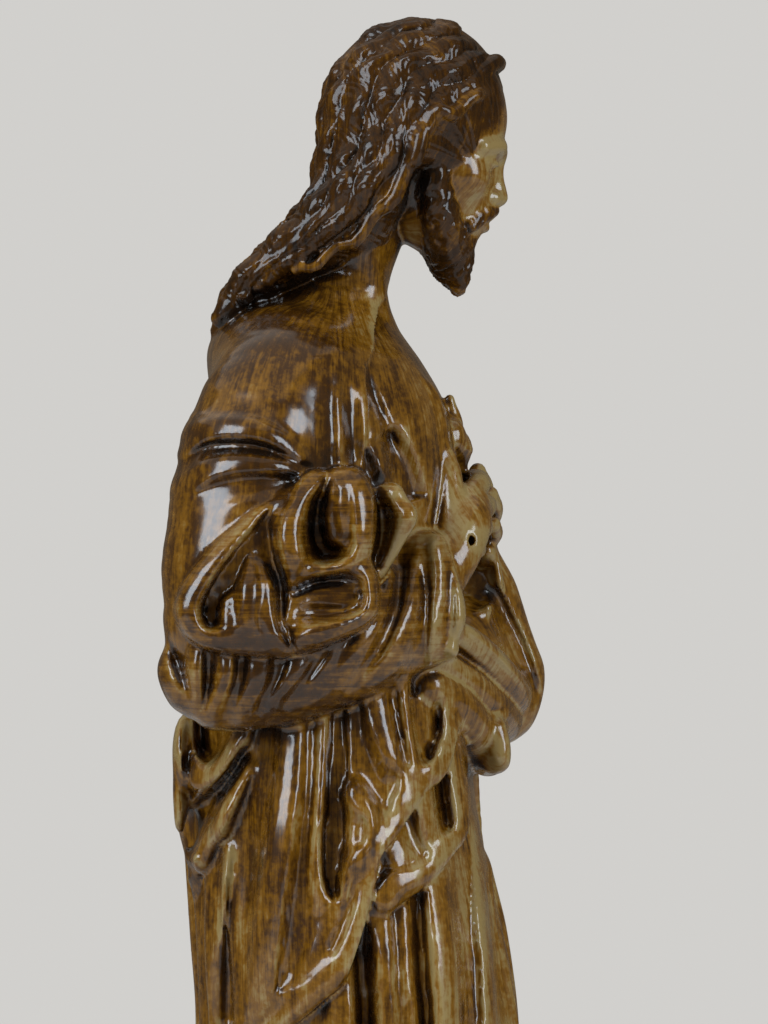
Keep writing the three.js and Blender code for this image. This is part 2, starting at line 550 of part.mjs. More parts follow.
// The mantle bunched over the crook of the arm: one mass, hollowed where the cloth folds over itself
const bunchDepth = -72;
const bunch = form(1.5, [
  cushion([[23.3, 462], [13.3, 469.4], [5.8, 472], [-0.8, 472.6], [-5.8, 470.6], [-9, 464.6],
    [-9.8, 457.5], [-10, 447], [-10.4, 440], [-11, 431], [-10.6, 425.6], [-5, 421.2], [1.7, 417.8],
    [8.3, 414.8], [14, 412.2], [20, 411.4], [30, 412], [38.3, 413], [45, 415.4], [51, 419.6], [53.4, 425],
    [52.4, 430.4], [48.6, 437], [41.9, 445.4], [33.4, 453.8]],
    { depth: bunchDepth, half: 19, round: 7, lean: [-0.12, 0.1] }),
], [
  relief([
    // the rolled hem, round the elbow and under it
    [[19, 464.4, 1], [25, 460, 3], [31, 453.6, 4], [38.4, 446, 4.4], [45.4, 437.6, 4.4], [49.8, 430, 4],
      [49.6, 424, 3.4], [45.6, 418.8, 3], [40, 417, 2.4], [33, 415.6, 1.4], [27, 414.6, 1]],
    // the two tongues inside it
    [[30.2, 445.6, -1], [29.6, 440, 2.4], [29.8, 434, 4.8], [31, 427, 4.6], [31, 420, 3.4], [28, 416, 1.4]],
    [[37.4, 429, 0.6], [36.6, 423.6, 2]],
    [[26.6, 442.8, -1], [24.4, 437.6, 2.4], [23.4, 431, 3.2], [22.6, 424, 3.2], [20.8, 418, 2.4],
      [18.6, 414, 1]],
    // the full middle, and the lip round the upper hollow
    [[8, 469.6, 3], [12.6, 464, 4.6], [15.8, 457, 6.4], [16.6, 450, 7.4], [15.4, 443, 6.6],
      [15.4, 437, 2.4]],
    [[-1, 471.4, 2], [-4.4, 469.8, 4], [-6.6, 465, 5], [-7.4, 459, 5], [-6.8, 452, 5], [-5.2, 446.6, 4],
      [-1.6, 442.2, 3.6], [3, 440, 3], [7.4, 439.4, 2.6], [11, 438.6, 2.4]],
    [[-1, 467, 2.4], [-0.8, 461, 1.4], [-1.8, 454, 0], [-3, 449, -3]],
    // the lip round the lower hollow and what lies in it
    [[-5.8, 439.8, 2], [-8.8, 436.8, 3], [-9.6, 432, 3], [-9.2, 427.8, 3], [-6, 424.6, 3.4],
      [-1, 422.2, 4], [5, 419.8, 4], [9.4, 417.8, 3.4], [13.4, 416, 2]],
    [[18, 423, -1], [13, 429.6, -2.4], [8, 431.4, -3.4], [0, 432, -3.6], [-6, 431.4, -4]],
  ], [
    [[22, 461.6, -1], [26.2, 456, -5], [27.4, 450.6, -7]],
    [[29.4, 451.4, -5], [32, 447, -9], [36.4, 440.4, -12], [40.8, 432.6, -13], [43.2, 427, -12],
      [43.2, 422.8, -8]],
    [[27.4, 448.6, -6], [24, 441.6, -7], [20.8, 436, -8], [20.2, 430, -8], [19.6, 424, -6],
      [17.6, 418, -3.6], [16, 414.6, -2]],
    [[5.4, 462, -7], [6.2, 456.6, -10], [6, 450, -11], [5.4, 445.6, -10]],
    [[4, 446, -10], [1, 445.4, -9], [-2, 446, -5]],
    [[5, 468, -2], [5, 464, -5]],
    [[17, 427, -3], [11, 426.4, -4.6], [5, 425.4, -5.4], [-1, 425.6, -5.6], [-6, 427.6, -5]],
    [[14, 433, -6], [8.4, 436, -8], [3.4, 437, -8], [-2, 436.6, -5], [-6.4, 436, -4]],
  ], { mid: armMid, reach: 7, rise: 1.2 }),
]);

// The curled corner of cloth between the bunch and the cuff
const curl = form(1.5, [
  cushion([[-6, 462], [-10, 464.5], [-15, 467], [-18.5, 467], [-20.5, 463], [-24, 458], [-20, 451],
    [-16.5, 444], [-12.5, 437], [-8, 440], [-4, 450]], { depth: -64, half: 7, round: 4, lean: [0.5, 0] }),
], [
  relief([
    [[-10, 463.2, 1], [-15, 465.6, 2], [-18, 465.4, 2], [-20, 462, 2], [-22.4, 458, 2], [-20, 451.7, 2],
      [-16, 444.2, 1.6], [-12.2, 438, 1]],
    [[-8.6, 460, 1], [-9.4, 452, 1], [-9, 444, 1]],
  ], [
    [[-12.4, 462.4, -2], [-14.6, 457, -4], [-14.4, 450, -3.6], [-12.2, 442, -2]],
  ], { mid: armMid, reach: 6 }),
]);

// Right hand: palm, thumb and fingers, with the back of the hand outwards
const rightHand = form(2, [
  tube([[-40, -32, 436, 9], [-36, -39, 446, 8], [-30, -42, 455, 8.4], [-22, -43, 461, 7.4]].map(seen),
    { soft: 4 }),
  tube([[-34, -36, 450, 5], [-31, -37, 462, 4.6], [-28, -36.5, 471, 4.2],
    [-26, -35.5, 477, 3.4]].map(seen), { soft: 4 }),
  tube([[-26, -42, 464, 4.4], [-16, -46, 468, 4], [-6, -46, 470, 3.6], [3, -44, 470, 3]].map(seen),
    { soft: 1.2 }),
  tube([[-24, -45, 459, 4.4], [-13, -48, 461, 4.1], [-2, -48, 462, 3.7], [7, -46, 461, 3]].map(seen),
    { soft: 1.2 }),
  tube([[-24, -44, 453, 4.2], [-14, -47, 454, 4], [-3, -47, 455, 3.6], [5, -45, 454, 3]].map(seen),
    { soft: 1.2 }),
  tube([[-26, -42, 448, 4], [-17, -45, 447, 3.6], [-8, -45, 447, 3.2], [-2, -43, 447, 2.7]].map(seen),
    { soft: 1.2 }),
  blob([-40, -43, 450], [5, 1, 1.7], { cut: true, soft: 0.5 }),
]);

// Left arm: shoulder, sleeve across the front and hand
const leftMid = 50;
const left = (line, rise, reach) => fold("left", line, rise, reach, { mid: leftMid });

const leftShoulder = form(16, [
  tube([[34, 14, 503, 20], [50, 20, 488, 25], [60, 25, 464, 25.5], [66, 28, 442, 24.5],
    [67, 30, 422, 21]], { soft: 6 }),
], [
  left([[46, 480], [30, 488], [12, 478], [4, 464]], 2.4, [4, 4]),
  left([[50, 462], [34, 470], [16, 462], [6, 448]], 2.6, [4, 5]),
  left([[52, 444], [36, 450], [20, 442]], 2.6, [4, 5]),
]);

const leftSleeve = form(5, [
  tube([[67, 32, 410, 19], [62, 8, 412, 21], [54, -14, 418, 19], [42, -32, 428, 17], [32, -40, 437, 14]],
    { soft: 6 }),
], [
  left([[48, 424], [40, 408], [24, 396]], 2.6, [6, 6]),
  left([[46, 436], [26, 424], [8, 404]], 3, [7, 6]),
  left([[36, 440], [10, 432], [-8, 410]], 3, [7, 6]),
]);

const leftHand = form(2, [
  tube([[34, -40, 436, 8.4], [27, -44, 446, 8], [20, -45, 455, 7.4]], { soft: 4 }),
  tube([[26, -42, 452, 4.6], [20, -41, 463, 4.2], [16, -41, 471, 3.4]], { soft: 3 }),
  tube([[20, -47, 460, 4], [12, -48, 467, 3.6], [5, -46, 473, 2.8]], { soft: 1.2 }),
  tube([[19, -49, 455, 4], [10, -51, 460, 3.7], [2, -50, 465, 3]], { soft: 1.2 }),
  tube([[19, -48, 449, 3.9], [9, -51, 452, 3.5], [1, -51, 455, 2.8]], { soft: 1.2 }),
  tube([[20, -46, 444, 3.6], [12, -49, 444, 3.2], [5, -49, 446, 2.6]], { soft: 1.2 }),
]);

// The left sleeve's opening and the cloth that hangs from it, the foremost edge seen from the right
const leftDrop = form(2, [
  cushion([[-42, 452], [-48, 455.5], [-53, 446], [-58, 437], [-60.5, 430], [-63, 422], [-65.5, 415],
    [-68, 408], [-68, 400], [-65.5, 391],
    [-61, 385], [-52, 382], [-42, 396], [-36, 420], [-36, 440]],
      { depth: 30, half: 15, round: 9, lean: [-0.3, 0], soft: 5 }),
  cushion([[-40, 455], [-46, 455], [-50, 451], [-53, 444], [-54.5, 435], [-53, 429], [-50, 425.5],
    [-44, 421.5], [-38, 420], [-34, 436]],
    { depth: 12, half: 6, round: 2, soft: 2 }),
  cushion([[-34, 452], [-45, 452.5], [-49, 448], [-51, 442], [-51.5, 435], [-50, 429.5], [-44, 425],
    [-34, 423]],
    { depth: 4, half: 11, round: 3, cut: true, soft: 1.5 }),
], [
  right([[-50, 436], [-56, 424], [-60.6, 414], [-64, 404], [-65.6, 396]], -4.4, [4.4, 2.6],
    { mid: 28, fade: 0.2 }),
  right([[-48, 426], [-53, 413], [-58, 400], [-60, 390]], 2, [4, 4], { mid: 28 }),
]);

// The mantle's swags from the right hip across the front to the left forearm
const swags = [
  [[-40, -37, 420, 4], [-25, -47, 412, 5.4], [-8, -54, 403, 6.4], [8, -57, 398, 7], [24, -55, 402, 8],
    [40, -44, 414, 8]],
  [[-42, -32, 410, 5], [-26, -43, 401, 6.4], [-6, -51, 393, 7.4], [12, -53, 390, 8], [28, -50, 398, 8],
    [44, -40, 410, 8]],
  [[-44, -30, 401, 6], [-34, -39, 395, 6.4], [-20, -45, 386, 7], [-4, -49, 379, 7], [10, -49, 379, 7],
    [28, -46, 390, 8], [46, -36, 402, 8]],
];
const frontCloth = form(2.5, [
  ...swags.map((rows) => tube(rows.map(seen), { soft: 1.4 })),
  cushion([[-38, 386], [-44, 388.6], [-50, 390.6], [-54, 391], [-56, 386], [-57, 380], [-56.4, 374.6],
    [-53, 372], [-49, 372.6], [-45, 375], [-41, 380]],
    { depth: -8, half: 15, round: 9, lean: [0.8, 0], soft: 1.5 }),
  tube([[-40, -30, 402, 2], [-40, -34, 394, 2.2], [-38, -37.4, 388.4, 2.2], [-32, -42, 387.8, 2],
    [-24, -48, 389.6, 2.2], [-14, -54, 391.8, 2.4]].map(seen), { soft: 0.8 }),
  blob([20, -38, 408], [26, 18, 24], { soft: 6 }),
], [
  right([[-40, 424], [-48, 416], [-58, 406], [-64, 398]], 1, [2, 3]),
]);

// The mantle where it is gathered behind the neck, under the hair
const collar = form(12, [
  tube([[-44, 14, 500, 16], [-22, 24, 509, 15.6], [0, 27, 511, 15.6], [22, 24, 509, 15.6], [44, 14, 500, 16]],
    { soft: 6 }),
]);

// Neck
const neck = form(5, [
  tube([[0, 8, 520, 17], [0, 0, 532, 14.5], [0, -5, 545, 13.5], [0, -10, 560, 14]], { soft: 4 }),
  ...bothSides((s) => tube([[6 * s, -14, 524, 3], [11 * s, -9, 540, 3.4], [16 * s, -5, 556, 4]],
    { soft: 5 })),
]);

// The head is modelled upright about its own middle, then tipped forward
function inHead([x, y, z, ...rest]) {
  const point = new THREE.Vector3(x, y, z)
    .applyAxisAngle(new THREE.Vector3(0, 0, 1), headTurn)
    .applyAxisAngle(new THREE.Vector3(1, 0, 0), headTilt)
    .add(headCentre);
  return [point.x, point.y, point.z, ...rest];
}
function headTube(rows, options) {
  return tube(rows.map(inHead), options);
}
function headBlob(centre, radii, options = {}) {
  return blob(inHead(centre), radii, { tilt: headTilt, turn: headTurn, ...options });
}

const browHeight = 6;
const eyeHeight = 0;
const noseHeight = -11;
const mouthHeight = -18;
const chinHeight = -31;
const eyeSpacing = 10.4;
const head = form(2, [
  headBlob([0, 4, 10], [25.5, 31, 27]),
  headBlob([0, -8, -10], [19.5, 20, 23], { soft: 8 }),
  headBlob([0, -17, chinHeight + 5], [9, 8, 7], { soft: 8 }),
  ...bothSides((s) => headBlob([13.5 * s, -18, -6], [6.5, 6.5, 6], { soft: 6 })),
  ...bothSides((s) => headBlob([eyeSpacing * s, -30.5, eyeHeight], [6, 5.4, 4.2], { cut: true, soft: 3 })),
  ...bothSides((s) => headBlob([eyeSpacing * s, -21.6, eyeHeight], [5, 4.6, 3.9], { soft: 1 })),
  ...bothSides((s) => headTube([[15.6 * s, -22.4, eyeHeight + 0.2, 0.8],
    [eyeSpacing * s, -26.4, eyeHeight + 0.4, 1], [5.6 * s, -24.6, eyeHeight - 0.6, 0.8]], { soft: 0.6 })),
  ...bothSides((s) => headTube([[17 * s, -20.5, browHeight - 1.6, 1.8],
    [10 * s, -25.8, browHeight + 0.6, 2], [2 * s, -26.4, browHeight - 1, 2.2]], { soft: 4 })),
  headTube([[0, -25.4, browHeight - 1, 2.6], [0, -28, browHeight - 9, 2.8],
    [0, -31, noseHeight + 2, 3.1]], { soft: 3 }),
  ...bothSides((s) => headBlob([3.4 * s, -28.6, noseHeight + 1.2], [2.5, 3.4, 2.3], { soft: 1.6 })),
  headBlob([0, -23.5, mouthHeight], [9, 6, 7], { soft: 6 }),
  headTube([[-6, -28, mouthHeight + 0.8, 1], [0, -29.8, mouthHeight + 1.8, 1.6],
    [6, -28, mouthHeight + 0.8, 1]], { soft: 1 }),
  headTube([[-5.5, -27.6, mouthHeight - 1.4, 1], [0, -29.4, mouthHeight - 2, 1.8],
    [5.5, -27.6, mouthHeight - 1.4, 1]], { soft: 1 }),
]);

// Beard and moustache
const beard = form(2, [
  ...bothSides((s) => headTube([[20.5 * s, -5, 0, 3.2], [19.5 * s, -8, -12, 5], [15 * s, -14, -23, 6.4],
    [7 * s, -19, -30, 7.4]], { soft: 4 })),
  headTube([[0, -19, -27, 9], [0, -22, -34, 7.5], [0, -24, -38, 5]], { soft: 5 }),
  ...bothSides((s) => headTube([[4 * s, -23, -33, 4.6], [4.6 * s, -25.4, -38, 3.8],
    [3.6 * s, -27, -42, 2.4]], { soft: 2.4 })),
  ...bothSides((s) => headTube([[1.4 * s, -30.6, mouthHeight + 4, 1.5],
    [6.4 * s, -28.6, mouthHeight + 2.6, 2], [10.5 * s, -24, mouthHeight - 3.6, 2.2]], { soft: 1.4 })),
]);

// Hair: the mass first, then waved locks laid over it
const hairMass = form(3, [
  blob([0, -25, 592.5], [30.5, 30, 31.5], { tilt: headTilt }),
  headBlob([0, -36, -8], [17.5, 20, 34], { cut: true, soft: 4 }),
  ...bothSides((s) => tube([[25.5 * s, -27, 588, 8.5], [26 * s, -16, 575, 9], [25 * s, -6, 564, 9.4],
    [23 * s, 4, 555, 9], [22 * s, 14, 547, 7.6], [22 * s, 24, 539.6, 6], [21 * s, 33, 531, 4.6],
    [20 * s, 38, 523, 3.4]], { soft: 6 })),
  ...bothSides((s) => tube([[8 * s, -14, 590, 19], [9 * s, -9, 575, 17], [10 * s, -5, 561, 16],
    [10 * s, 3, 553, 13], [9 * s, 14, 544.6, 10], [9 * s, 25, 536.6, 7.6], [8 * s, 33, 528, 6.4],
    [7 * s, 37, 520, 5]], { soft: 6 })),
]);

// How far out the hair's surface is met, coming in from outside
function reachOut(inHair, most) {
  let out = most;
  while (out > 0 && !inHair(out)) out -= 0.25;
  return out;
}
const lockPitch = 21; // length of one wave of a lock
const lockWave = 1.5;
// Locks at the side, from the parting down to the shoulder: rows [y, z] in the side view
const sideLocks = [
  [[-50, 604], [-46, 601.5], [-42, 598], [-34, 592], [-28, 585], [-24, 575], [-17, 564], [-8, 553],
    [2, 545], [12, 539], [20, 534]],
  [[-49, 609], [-43, 606], [-36, 603], [-27, 598], [-22, 589], [-18, 578], [-12, 567], [-3, 556],
    [7, 547], [17, 541], [27, 533]],
  [[-45, 614], [-38, 611], [-29, 608], [-20, 602], [-15, 592], [-12, 581], [-6, 570], [2, 559], [11, 549],
    [22, 541], [33, 529]],
  [[-39, 618.5], [-31, 615], [-22, 612], [-13, 605], [-8, 595], [-6, 583], [0, 572], [6, 561], [14, 550],
    [26, 541], [37, 526]],
  [[-32, 621], [-24, 618], [-15, 613], [-7, 606], [-3, 596], [-2, 585], [3, 574], [8, 563], [15, 552],
    [28, 541], [39, 521]],
];
// Locks down the back: how far across they start and end
const backLocks = [[-13, -15], [-6.5, -8], [0, 0], [6.5, 8], [13, 15]];

function lockRadius(share) {
  return 1 + 2.8 * Math.sin(Math.PI * Math.min(share * 1.1 + 0.05, 1));
}
const locks = form(1.2, [
  ...bothSides((s) => sideLocks.map((line, i) => {
    const path = new THREE.SplineCurve(line.map(([y, z]) => new THREE.Vector2(y, z)));
    const count = 22;
    const rows = [];
    for (let k = 0; k <= count; k++) {
      const share = k / count;
      const point = path.getPoint(share);
      const along = path.getTangent(share);
      const turn = (2 * Math.PI * share * path.getLength()) / lockPitch + i * 1.3;
      const wave = lockWave * Math.sin(turn) * Math.min(share * 4, 1);
      const [y, z] = [point.x - along.y * wave, point.y + along.x * wave];
      const out = reachOut((half) => hairMass.at(s * half, y, z) < 0, 50) + 0.4;
      rows.push([s * Math.max(out, 1.5), y, z, lockRadius(share)]);
    }
    return tube(rows, { soft: 0.8, steps: 1 });
  })).flat(),
  ...backLocks.map(([start, end], i) => {
    const rows = [];
    const count = 16;
    for (let k = 0; k <= count; k++) {
      const share = k / count;
      const x = lerp(start, end, share) + 1.6 * Math.sin(share * 27 + i * 1.9) * share;
      const z = lerp(603, 519, share);
      rows.push([x, reachOut((back) => hairMass.at(x, back, z) < 0, 60) + 0.3, z, lockRadius(share)]);
    }
    return tube(rows, { soft: 0.8, steps: 1 });
  }),
]);

// Heart on the breast, with a band round it and a flame above
const heart = form(1.5, [
  ...bothSides((s) => blob([4.6 * s, -38, 484], [5.6, 4, 6], { soft: 2 })),
  tube([[0, -39, 481, 5], [0, -40, 474, 2.6]], { soft: 3 }),
  tube([[-8.6, -38.5, 482, 1.4], [0, -43, 480, 1.5], [8.6, -38.5, 482, 1.4]], { soft: 0.6 }),
  tube([[0, -38, 489, 3], [0, -36.6, 497, 1.6]], { soft: 2 }),
]);

// Feet at the front of the hem
const feet = bothSides((s) => form(2, [
  tube([[19 * s, -50, 40, 12], [21 * s, -66, 36, 9.5], [22 * s, -78, 33, 7]], { soft: 4 }),
  ...[0, 1, 2, 3, 4].map((toe) => {
    const x = (14 + 3.9 * toe) * s;
    return tube([[x, -76 + toe * 0.9, 32, 3.6 - 0.3 * toe], [x, -83 + toe * 1.7, 30.6, 3 - 0.25 * toe]],
      { soft: 1 });
  }),
]));

const forms = [
  rightShoulder, leftShoulder, collar, rightSleeve, leftSleeve, leftDrop, frontCloth, bunch, curl, rightHand,
  leftHand, neck, head, beard, hairMass, locks, heart, ...feet,
];
const bodyBox = [-90, -90, bodyFoot, 90, 75, bodyTop];
const farAway = 40;

function figureAt(x, y, z) {
  let d = outside(bodyBox, x, y, z) > foldReach ? farAway : bodyAt(x, y, z);
  for (const f of forms) {
    if (outside(f.box, x, y, z) > Math.max(d, 0) + f.soft + 2) continue;
    d = softUnion(d, f.at(x, y, z), f.soft);
  }
  return Math.max(d, bodyFoot - z);
}

// The corners and edges of one cell, and which corner patterns would hold more than one sheet of the skin
const corners = Array.from({ length: 8 }, (_, c) => [c & 1, (c >> 1) & 1, c >> 2]);
const edges = corners.flatMap((_, a) => [1, 2, 4].filter((bit) => !(a & bit)).map((bit) => [a, a | bit]));
function patches(mask) {
  const group = corners.map((_, c) => c);
  for (const _ of corners) {
    for (const [a, b] of edges) {
      if ((mask >> a) & (mask >> b) & 1) group[a] = group[b] = Math.min(group[a], group[b]);
    }
  }
  return new Set(group.filter((_, c) => (mask >> c) & 1)).size;
}
const tangled = Array.from({ length: 256 }, (_, mask) => patches(mask) > 1 || patches(255 - mask) > 1);

// Wraps a skin of quads round where the field is zero, one vertex in each cell that it passes through
function skin(field, low, high, step) {
  const [nx, ny, nz] = low.map((v, k) => Math.ceil((high[k] - v) / step) + 1);
  const values = new Float32Array(nx * ny * nz);
  const index = (i, j, k) => i + nx * (j + ny * k);
  const block = 6;
  const half = (block * step) / 2;
  for (let k = 0; k < nz; k += block)
    for (let j = 0; j < ny; j += block)
      for (let i = 0; i < nx; i += block) {
        const [x, y, z] = [low[0] + i * step, low[1] + j * step, low[2] + k * step];
        const middle = field(x + half, y + half, z + half);
        const near = Math.abs(middle) < half * 2.3;
        for (let c = 0; c < block && k + c < nz; c++)
          for (let b = 0; b < block && j + b < ny; b++)
            for (let a = 0; a < block && i + a < nx; a++)
              values[index(i + a, j + b, k + c)] = near
                ? field(x + a * step, y + b * step, z + c * step)
                : middle;
      }
  const steps = corners.map(([a, b, c]) => index(a, b, c));
  // Where two sheets would touch inside one cell, the gap between them is filled
  for (let filled = true; filled; ) {
    filled = false;
    for (let cell = 0; cell < values.length - index(1, 1, 1); cell++) {
      let mask = 0;
      for (let c = 0; c < 8; c++) mask |= (values[cell + steps[c]] < 0) << c;
      if (!tangled[mask]) continue;
      const outer = steps.filter((_, c) => !(mask & (1 << c)));
      const nearest = outer.reduce((a, b) => (values[cell + b] < values[cell + a] ? b : a));
      values[cell + nearest] = -0.05 * step;
      filled = true;
    }
  }
  const cellVertex = new Int32Array(nx * ny * nz).fill(-1);
  const points = [];
  for (let k = 0; k < nz - 1; k++)
    for (let j = 0; j < ny - 1; j++)
      for (let i = 0; i < nx - 1; i++) {
        const at = corners.map(([a, b, c]) => values[index(i + a, j + b, k + c)]);
        const inside = at.filter((v) => v < 0).length;
        if (inside === 0 || inside === 8) continue;
        const sum = [0, 0, 0];
        let crossings = 0;
        for (const [a, b] of edges) {
          if (at[a] < 0 === at[b] < 0) continue;
          const t = at[a] / (at[a] - at[b]);
          for (let n = 0; n < 3; n++) sum[n] += lerp(corners[a][n], corners[b][n], t);
          crossings++;
        }
        cellVertex[index(i, j, k)] = points.length;
        points.push([i, j, k].map((cell, n) => low[n] + (cell + sum[n] / crossings) * step));
      }
  const faces = [];
  const axes = [[1, 0, 0], [0, 1, 0], [0, 0, 1]];
  for (let k = 1; k < nz - 1; k++)
    for (let j = 1; j < ny - 1; j++)
      for (let i = 1; i < nx - 1; i++)
        for (let way = 0; way < 3; way++) {
          const [e, u, v] = [axes[way], axes[(way + 1) % 3], axes[(way + 2) % 3]];
          const here = values[index(i, j, k)] < 0;
          if (here === values[index(i + e[0], j + e[1], k + e[2])] < 0) continue;
          const ring = [[0, 0], [1, 0], [1, 1], [0, 1]].map(([p, q]) =>
            cellVertex[index(i - p * u[0] - q * v[0], j - p * u[1] - q * v[1], k - p * u[2] - q * v[2])]);
          if (!here) ring.reverse();
          faces.push([ring[0], ring[1], ring[2]], [ring[0], ring[2], ring[3]]);
        }
  return { points, faces };
}

// How much more care a place takes than plain cloth: most at the head, then the hands and the bunched cloth
function careAt(x, y, z) {
  if (z > 520) return y < -20 && z < 606 ? 7 : 4;
  if (z > 405) return y < -20 || x < -50 ? 2.4 : 0.8;
  return x < 0 && z > 285 ? 1.2 : 0.6;
}

// The sum of squared distances to a set of planes, kept as ten numbers
function planeError(q, x, y, z) {
  return (
    q[0] * x * x + q[4] * y * y + q[7] * z * z + 2 * (q[1] * x * y + q[2] * x * z + q[5] * y * z) +
    2 * (q[3] * x + q[6] * y + q[8] * z) + q[9]
  );
}

// The place where two sets of planes agree best
function bestPoint(q, fallback) {
  const m = new THREE.Matrix3().set(q[0], q[1], q[2], q[1], q[4], q[5], q[2], q[5], q[7]);
  const size = q[0] + q[4] + q[7];
  if (m.determinant() < 1e-7 * size ** 3) return fallback;
  return new THREE.Vector3(-q[3], -q[6], -q[8]).applyMatrix3(m.invert()).toArray();
}

// Thins a closed skin out to a number of triangles, always taking out the edge that changes the form least
function thinOut({ points, faces }, wanted) {
  const planes = points.map(() => new Float64Array(10));
  const around = points.map(() => new Set());
  const [a, b, c] = [new THREE.Vector3(), new THREE.Vector3(), new THREE.Vector3()];
  function normalOf(p, q, r) {
    a.fromArray(p);
    b.fromArray(q).sub(a);
    c.fromArray(r).sub(a);
    return b.cross(c);
  }
  faces.forEach((face, f) => {
    const [p, q, r] = face.map((v) => points[v]);
    const normal = normalOf(p, q, r);
    const area = normal.length() / 2;
    const { x, y, z } = normal.normalize();
    const w = -(x * p[0] + y * p[1] + z * p[2]);
    const plane = [x * x, x * y, x * z, x * w, y * y, y * z, y * w, z * z, z * w, w * w];
    const weight = area * careAt(...p);
    for (const v of face) {
      around[v].add(f);
      for (let k = 0; k < 10; k++) planes[v][k] += plane[k] * weight;
    }
  });
  // a little pull towards the point itself keeps triangles from drifting along flat cloth
  const pull = 0.004 * cellSize * cellSize;
  points.forEach(([x, y, z], v) => {
    const own = [1, 0, 0, -x, 1, 0, -y, 1, -z, x * x + y * y + z * z];
    for (let k = 0; k < 10; k++) planes[v][k] += own[k] * pull;
  });

  const version = new Int32Array(points.length);
  const heap = [];
  function push(entry) {
    let i = heap.push(entry) - 1;
    while (i > 0) {
      const parent = (i - 1) >> 1;
      if (heap[parent].error <= entry.error) break;
      heap[i] = heap[parent];
      i = parent;
    }
    heap[i] = entry;
  }
  function pop() {
    const first = heap[0];
    const last = heap.pop();
    if (!heap.length) return first;
    let i = 0;
    for (;;) {
      let child = 2 * i + 1;
      if (child >= heap.length) break;
      if (child + 1 < heap.length && heap[child + 1].error < heap[child].error) child++;
      if (heap[child].error >= last.error) break;
      heap[i] = heap[child];
      i = child;
    }
    heap[i] = last;
    return first;
  }
  function offer(p, q) {
    const both = planes[p].map((value, k) => value + planes[q][k]);
    const between = points[p].map((value, k) => (value + points[q][k]) / 2);
    const place = bestPoint(both, between);
    push({ p, q, place, error: planeError(both, ...place), stamp: version[p] + version[q] });
  }
  function neighbours(v) {
    const near = new Set();
    for (const f of around[v]) faces[f].forEach((n) => n !== v && near.add(n));
    return near;
  }
  // Whether every triangle round v that stays keeps facing its way, and none turns into a sliver
  function staysWhole(v, other, place) {
    for (const f of around[v]) {
      if (faces[f].includes(other)) continue;
      const [p, q, r] = faces[f].map((n) => points[n]);
      const before = normalOf(p, q, r).clone();
      const after = normalOf(...faces[f].map((n) => (n === v ? place : points[n])));
      const longest = Math.max(...[0, 1, 2].map((k) => {
        const [from, to] = [faces[f][k], faces[f][(k + 1) % 3]].map((n) => (n === v ? place : points[n]));
        return Math.hypot(from[0] - to[0], from[1] - to[1], from[2] - to[2]);
      }));
      if (before.dot(after) < 0.3 * before.length() * after.length()) return false;
      if (after.length() < 0.09 * longest * longest) return false;
    }
    return true;
  }

  points.forEach((_, v) => {
    for (const n of neighbours(v)) if (n > v) offer(v, n);
  });
  let left = faces.length;
  while (left > wanted && heap.length) {
    const { p, q, place, stamp } = pop();
    if (!around[p].size || !around[q].size || stamp !== version[p] + version[q]) continue;
    const [nearP, nearQ] = [neighbours(p), neighbours(q)];
    if (!nearP.has(q)) continue;
    const shared = [...nearP].filter((n) => nearQ.has(n));
    if (shared.length !== 2 || shared.some((n) => around[n].size < 4)) continue;
    if (!staysWhole(p, q, place) || !staysWhole(q, p, place)) continue;
    for (const f of [...around[q]]) {
      around[q].delete(f);
      if (faces[f].includes(p)) {
        for (const n of faces[f]) around[n].delete(f);
        faces[f] = null;
        left--;
      } else {
        faces[f] = faces[f].map((n) => (n === q ? p : n));
        around[p].add(f);
      }
    }
    points[p] = place;
    for (let k = 0; k < 10; k++) planes[p][k] += planes[q][k];
    version[p]++;
    for (const n of neighbours(p)) offer(p, n);
  }
  return { points, faces: faces.filter(Boolean) };
}

// The base: rounded rectangles stacked up a moulded edge, height and how far it steps in
const baseProfile = [[0, 0], [9, 0], [10.5, 1.5], [11.5, 4], [15, 5.5], [20, 5.5], [22, 4], [26, 4],
  [28, 6]];
const baseCorners = 3.4; // 2 would be an ellipse, and more is squarer
const baseSides = 40;

function makeBase() {
  const points = [];
  for (const [z, inset] of baseProfile) {
    for (let i = 0; i < baseSides; i++) {
      const turn = (2 * Math.PI * i) / baseSides;
      const [c, s] = [Math.cos(turn), Math.sin(turn)];
      const out = (v) => Math.sign(v) * Math.abs(v) ** (2 / baseCorners);
      points.push([(baseHalfWidth - inset) * out(c), (baseHalfDepth - inset) * out(s) - standBack, z]);
    }
  }
  const faces = [];
  for (let level = 0; level < baseProfile.length - 1; level++) {
    for (let i = 0; i < baseSides; i++) {
      const next = (i + 1) % baseSides;
      const [low, high] = [level * baseSides, (level + 1) * baseSides];
      faces.push([low + i, low + next, high + next], [low + i, high + next, high + i]);
    }
  }
  const top = (baseProfile.length - 1) * baseSides;
  const middle = points.push([0, -standBack, 0], [0, -standBack, baseHeight]) - 2;
  for (let i = 0; i < baseSides; i++) {
    const next = (i + 1) % baseSides;
    faces.push([middle, next, i], [middle + 1, top + i, top + next]);
  }
  return { points, faces };
}

const wasm = await Module();
wasm.setup();
function solidOf({ points, faces }) {
  return new wasm.Manifold(new wasm.Mesh({
    numProp: 3,
    vertProperties: new Float32Array(points.flat()),
    triVerts: new Uint32Array(faces.flat()),
  }));
}

const figure = thinOut(skin(figureAt, [-108, -92, 20], [100, 70, 630], cellSize), figureTriangles);
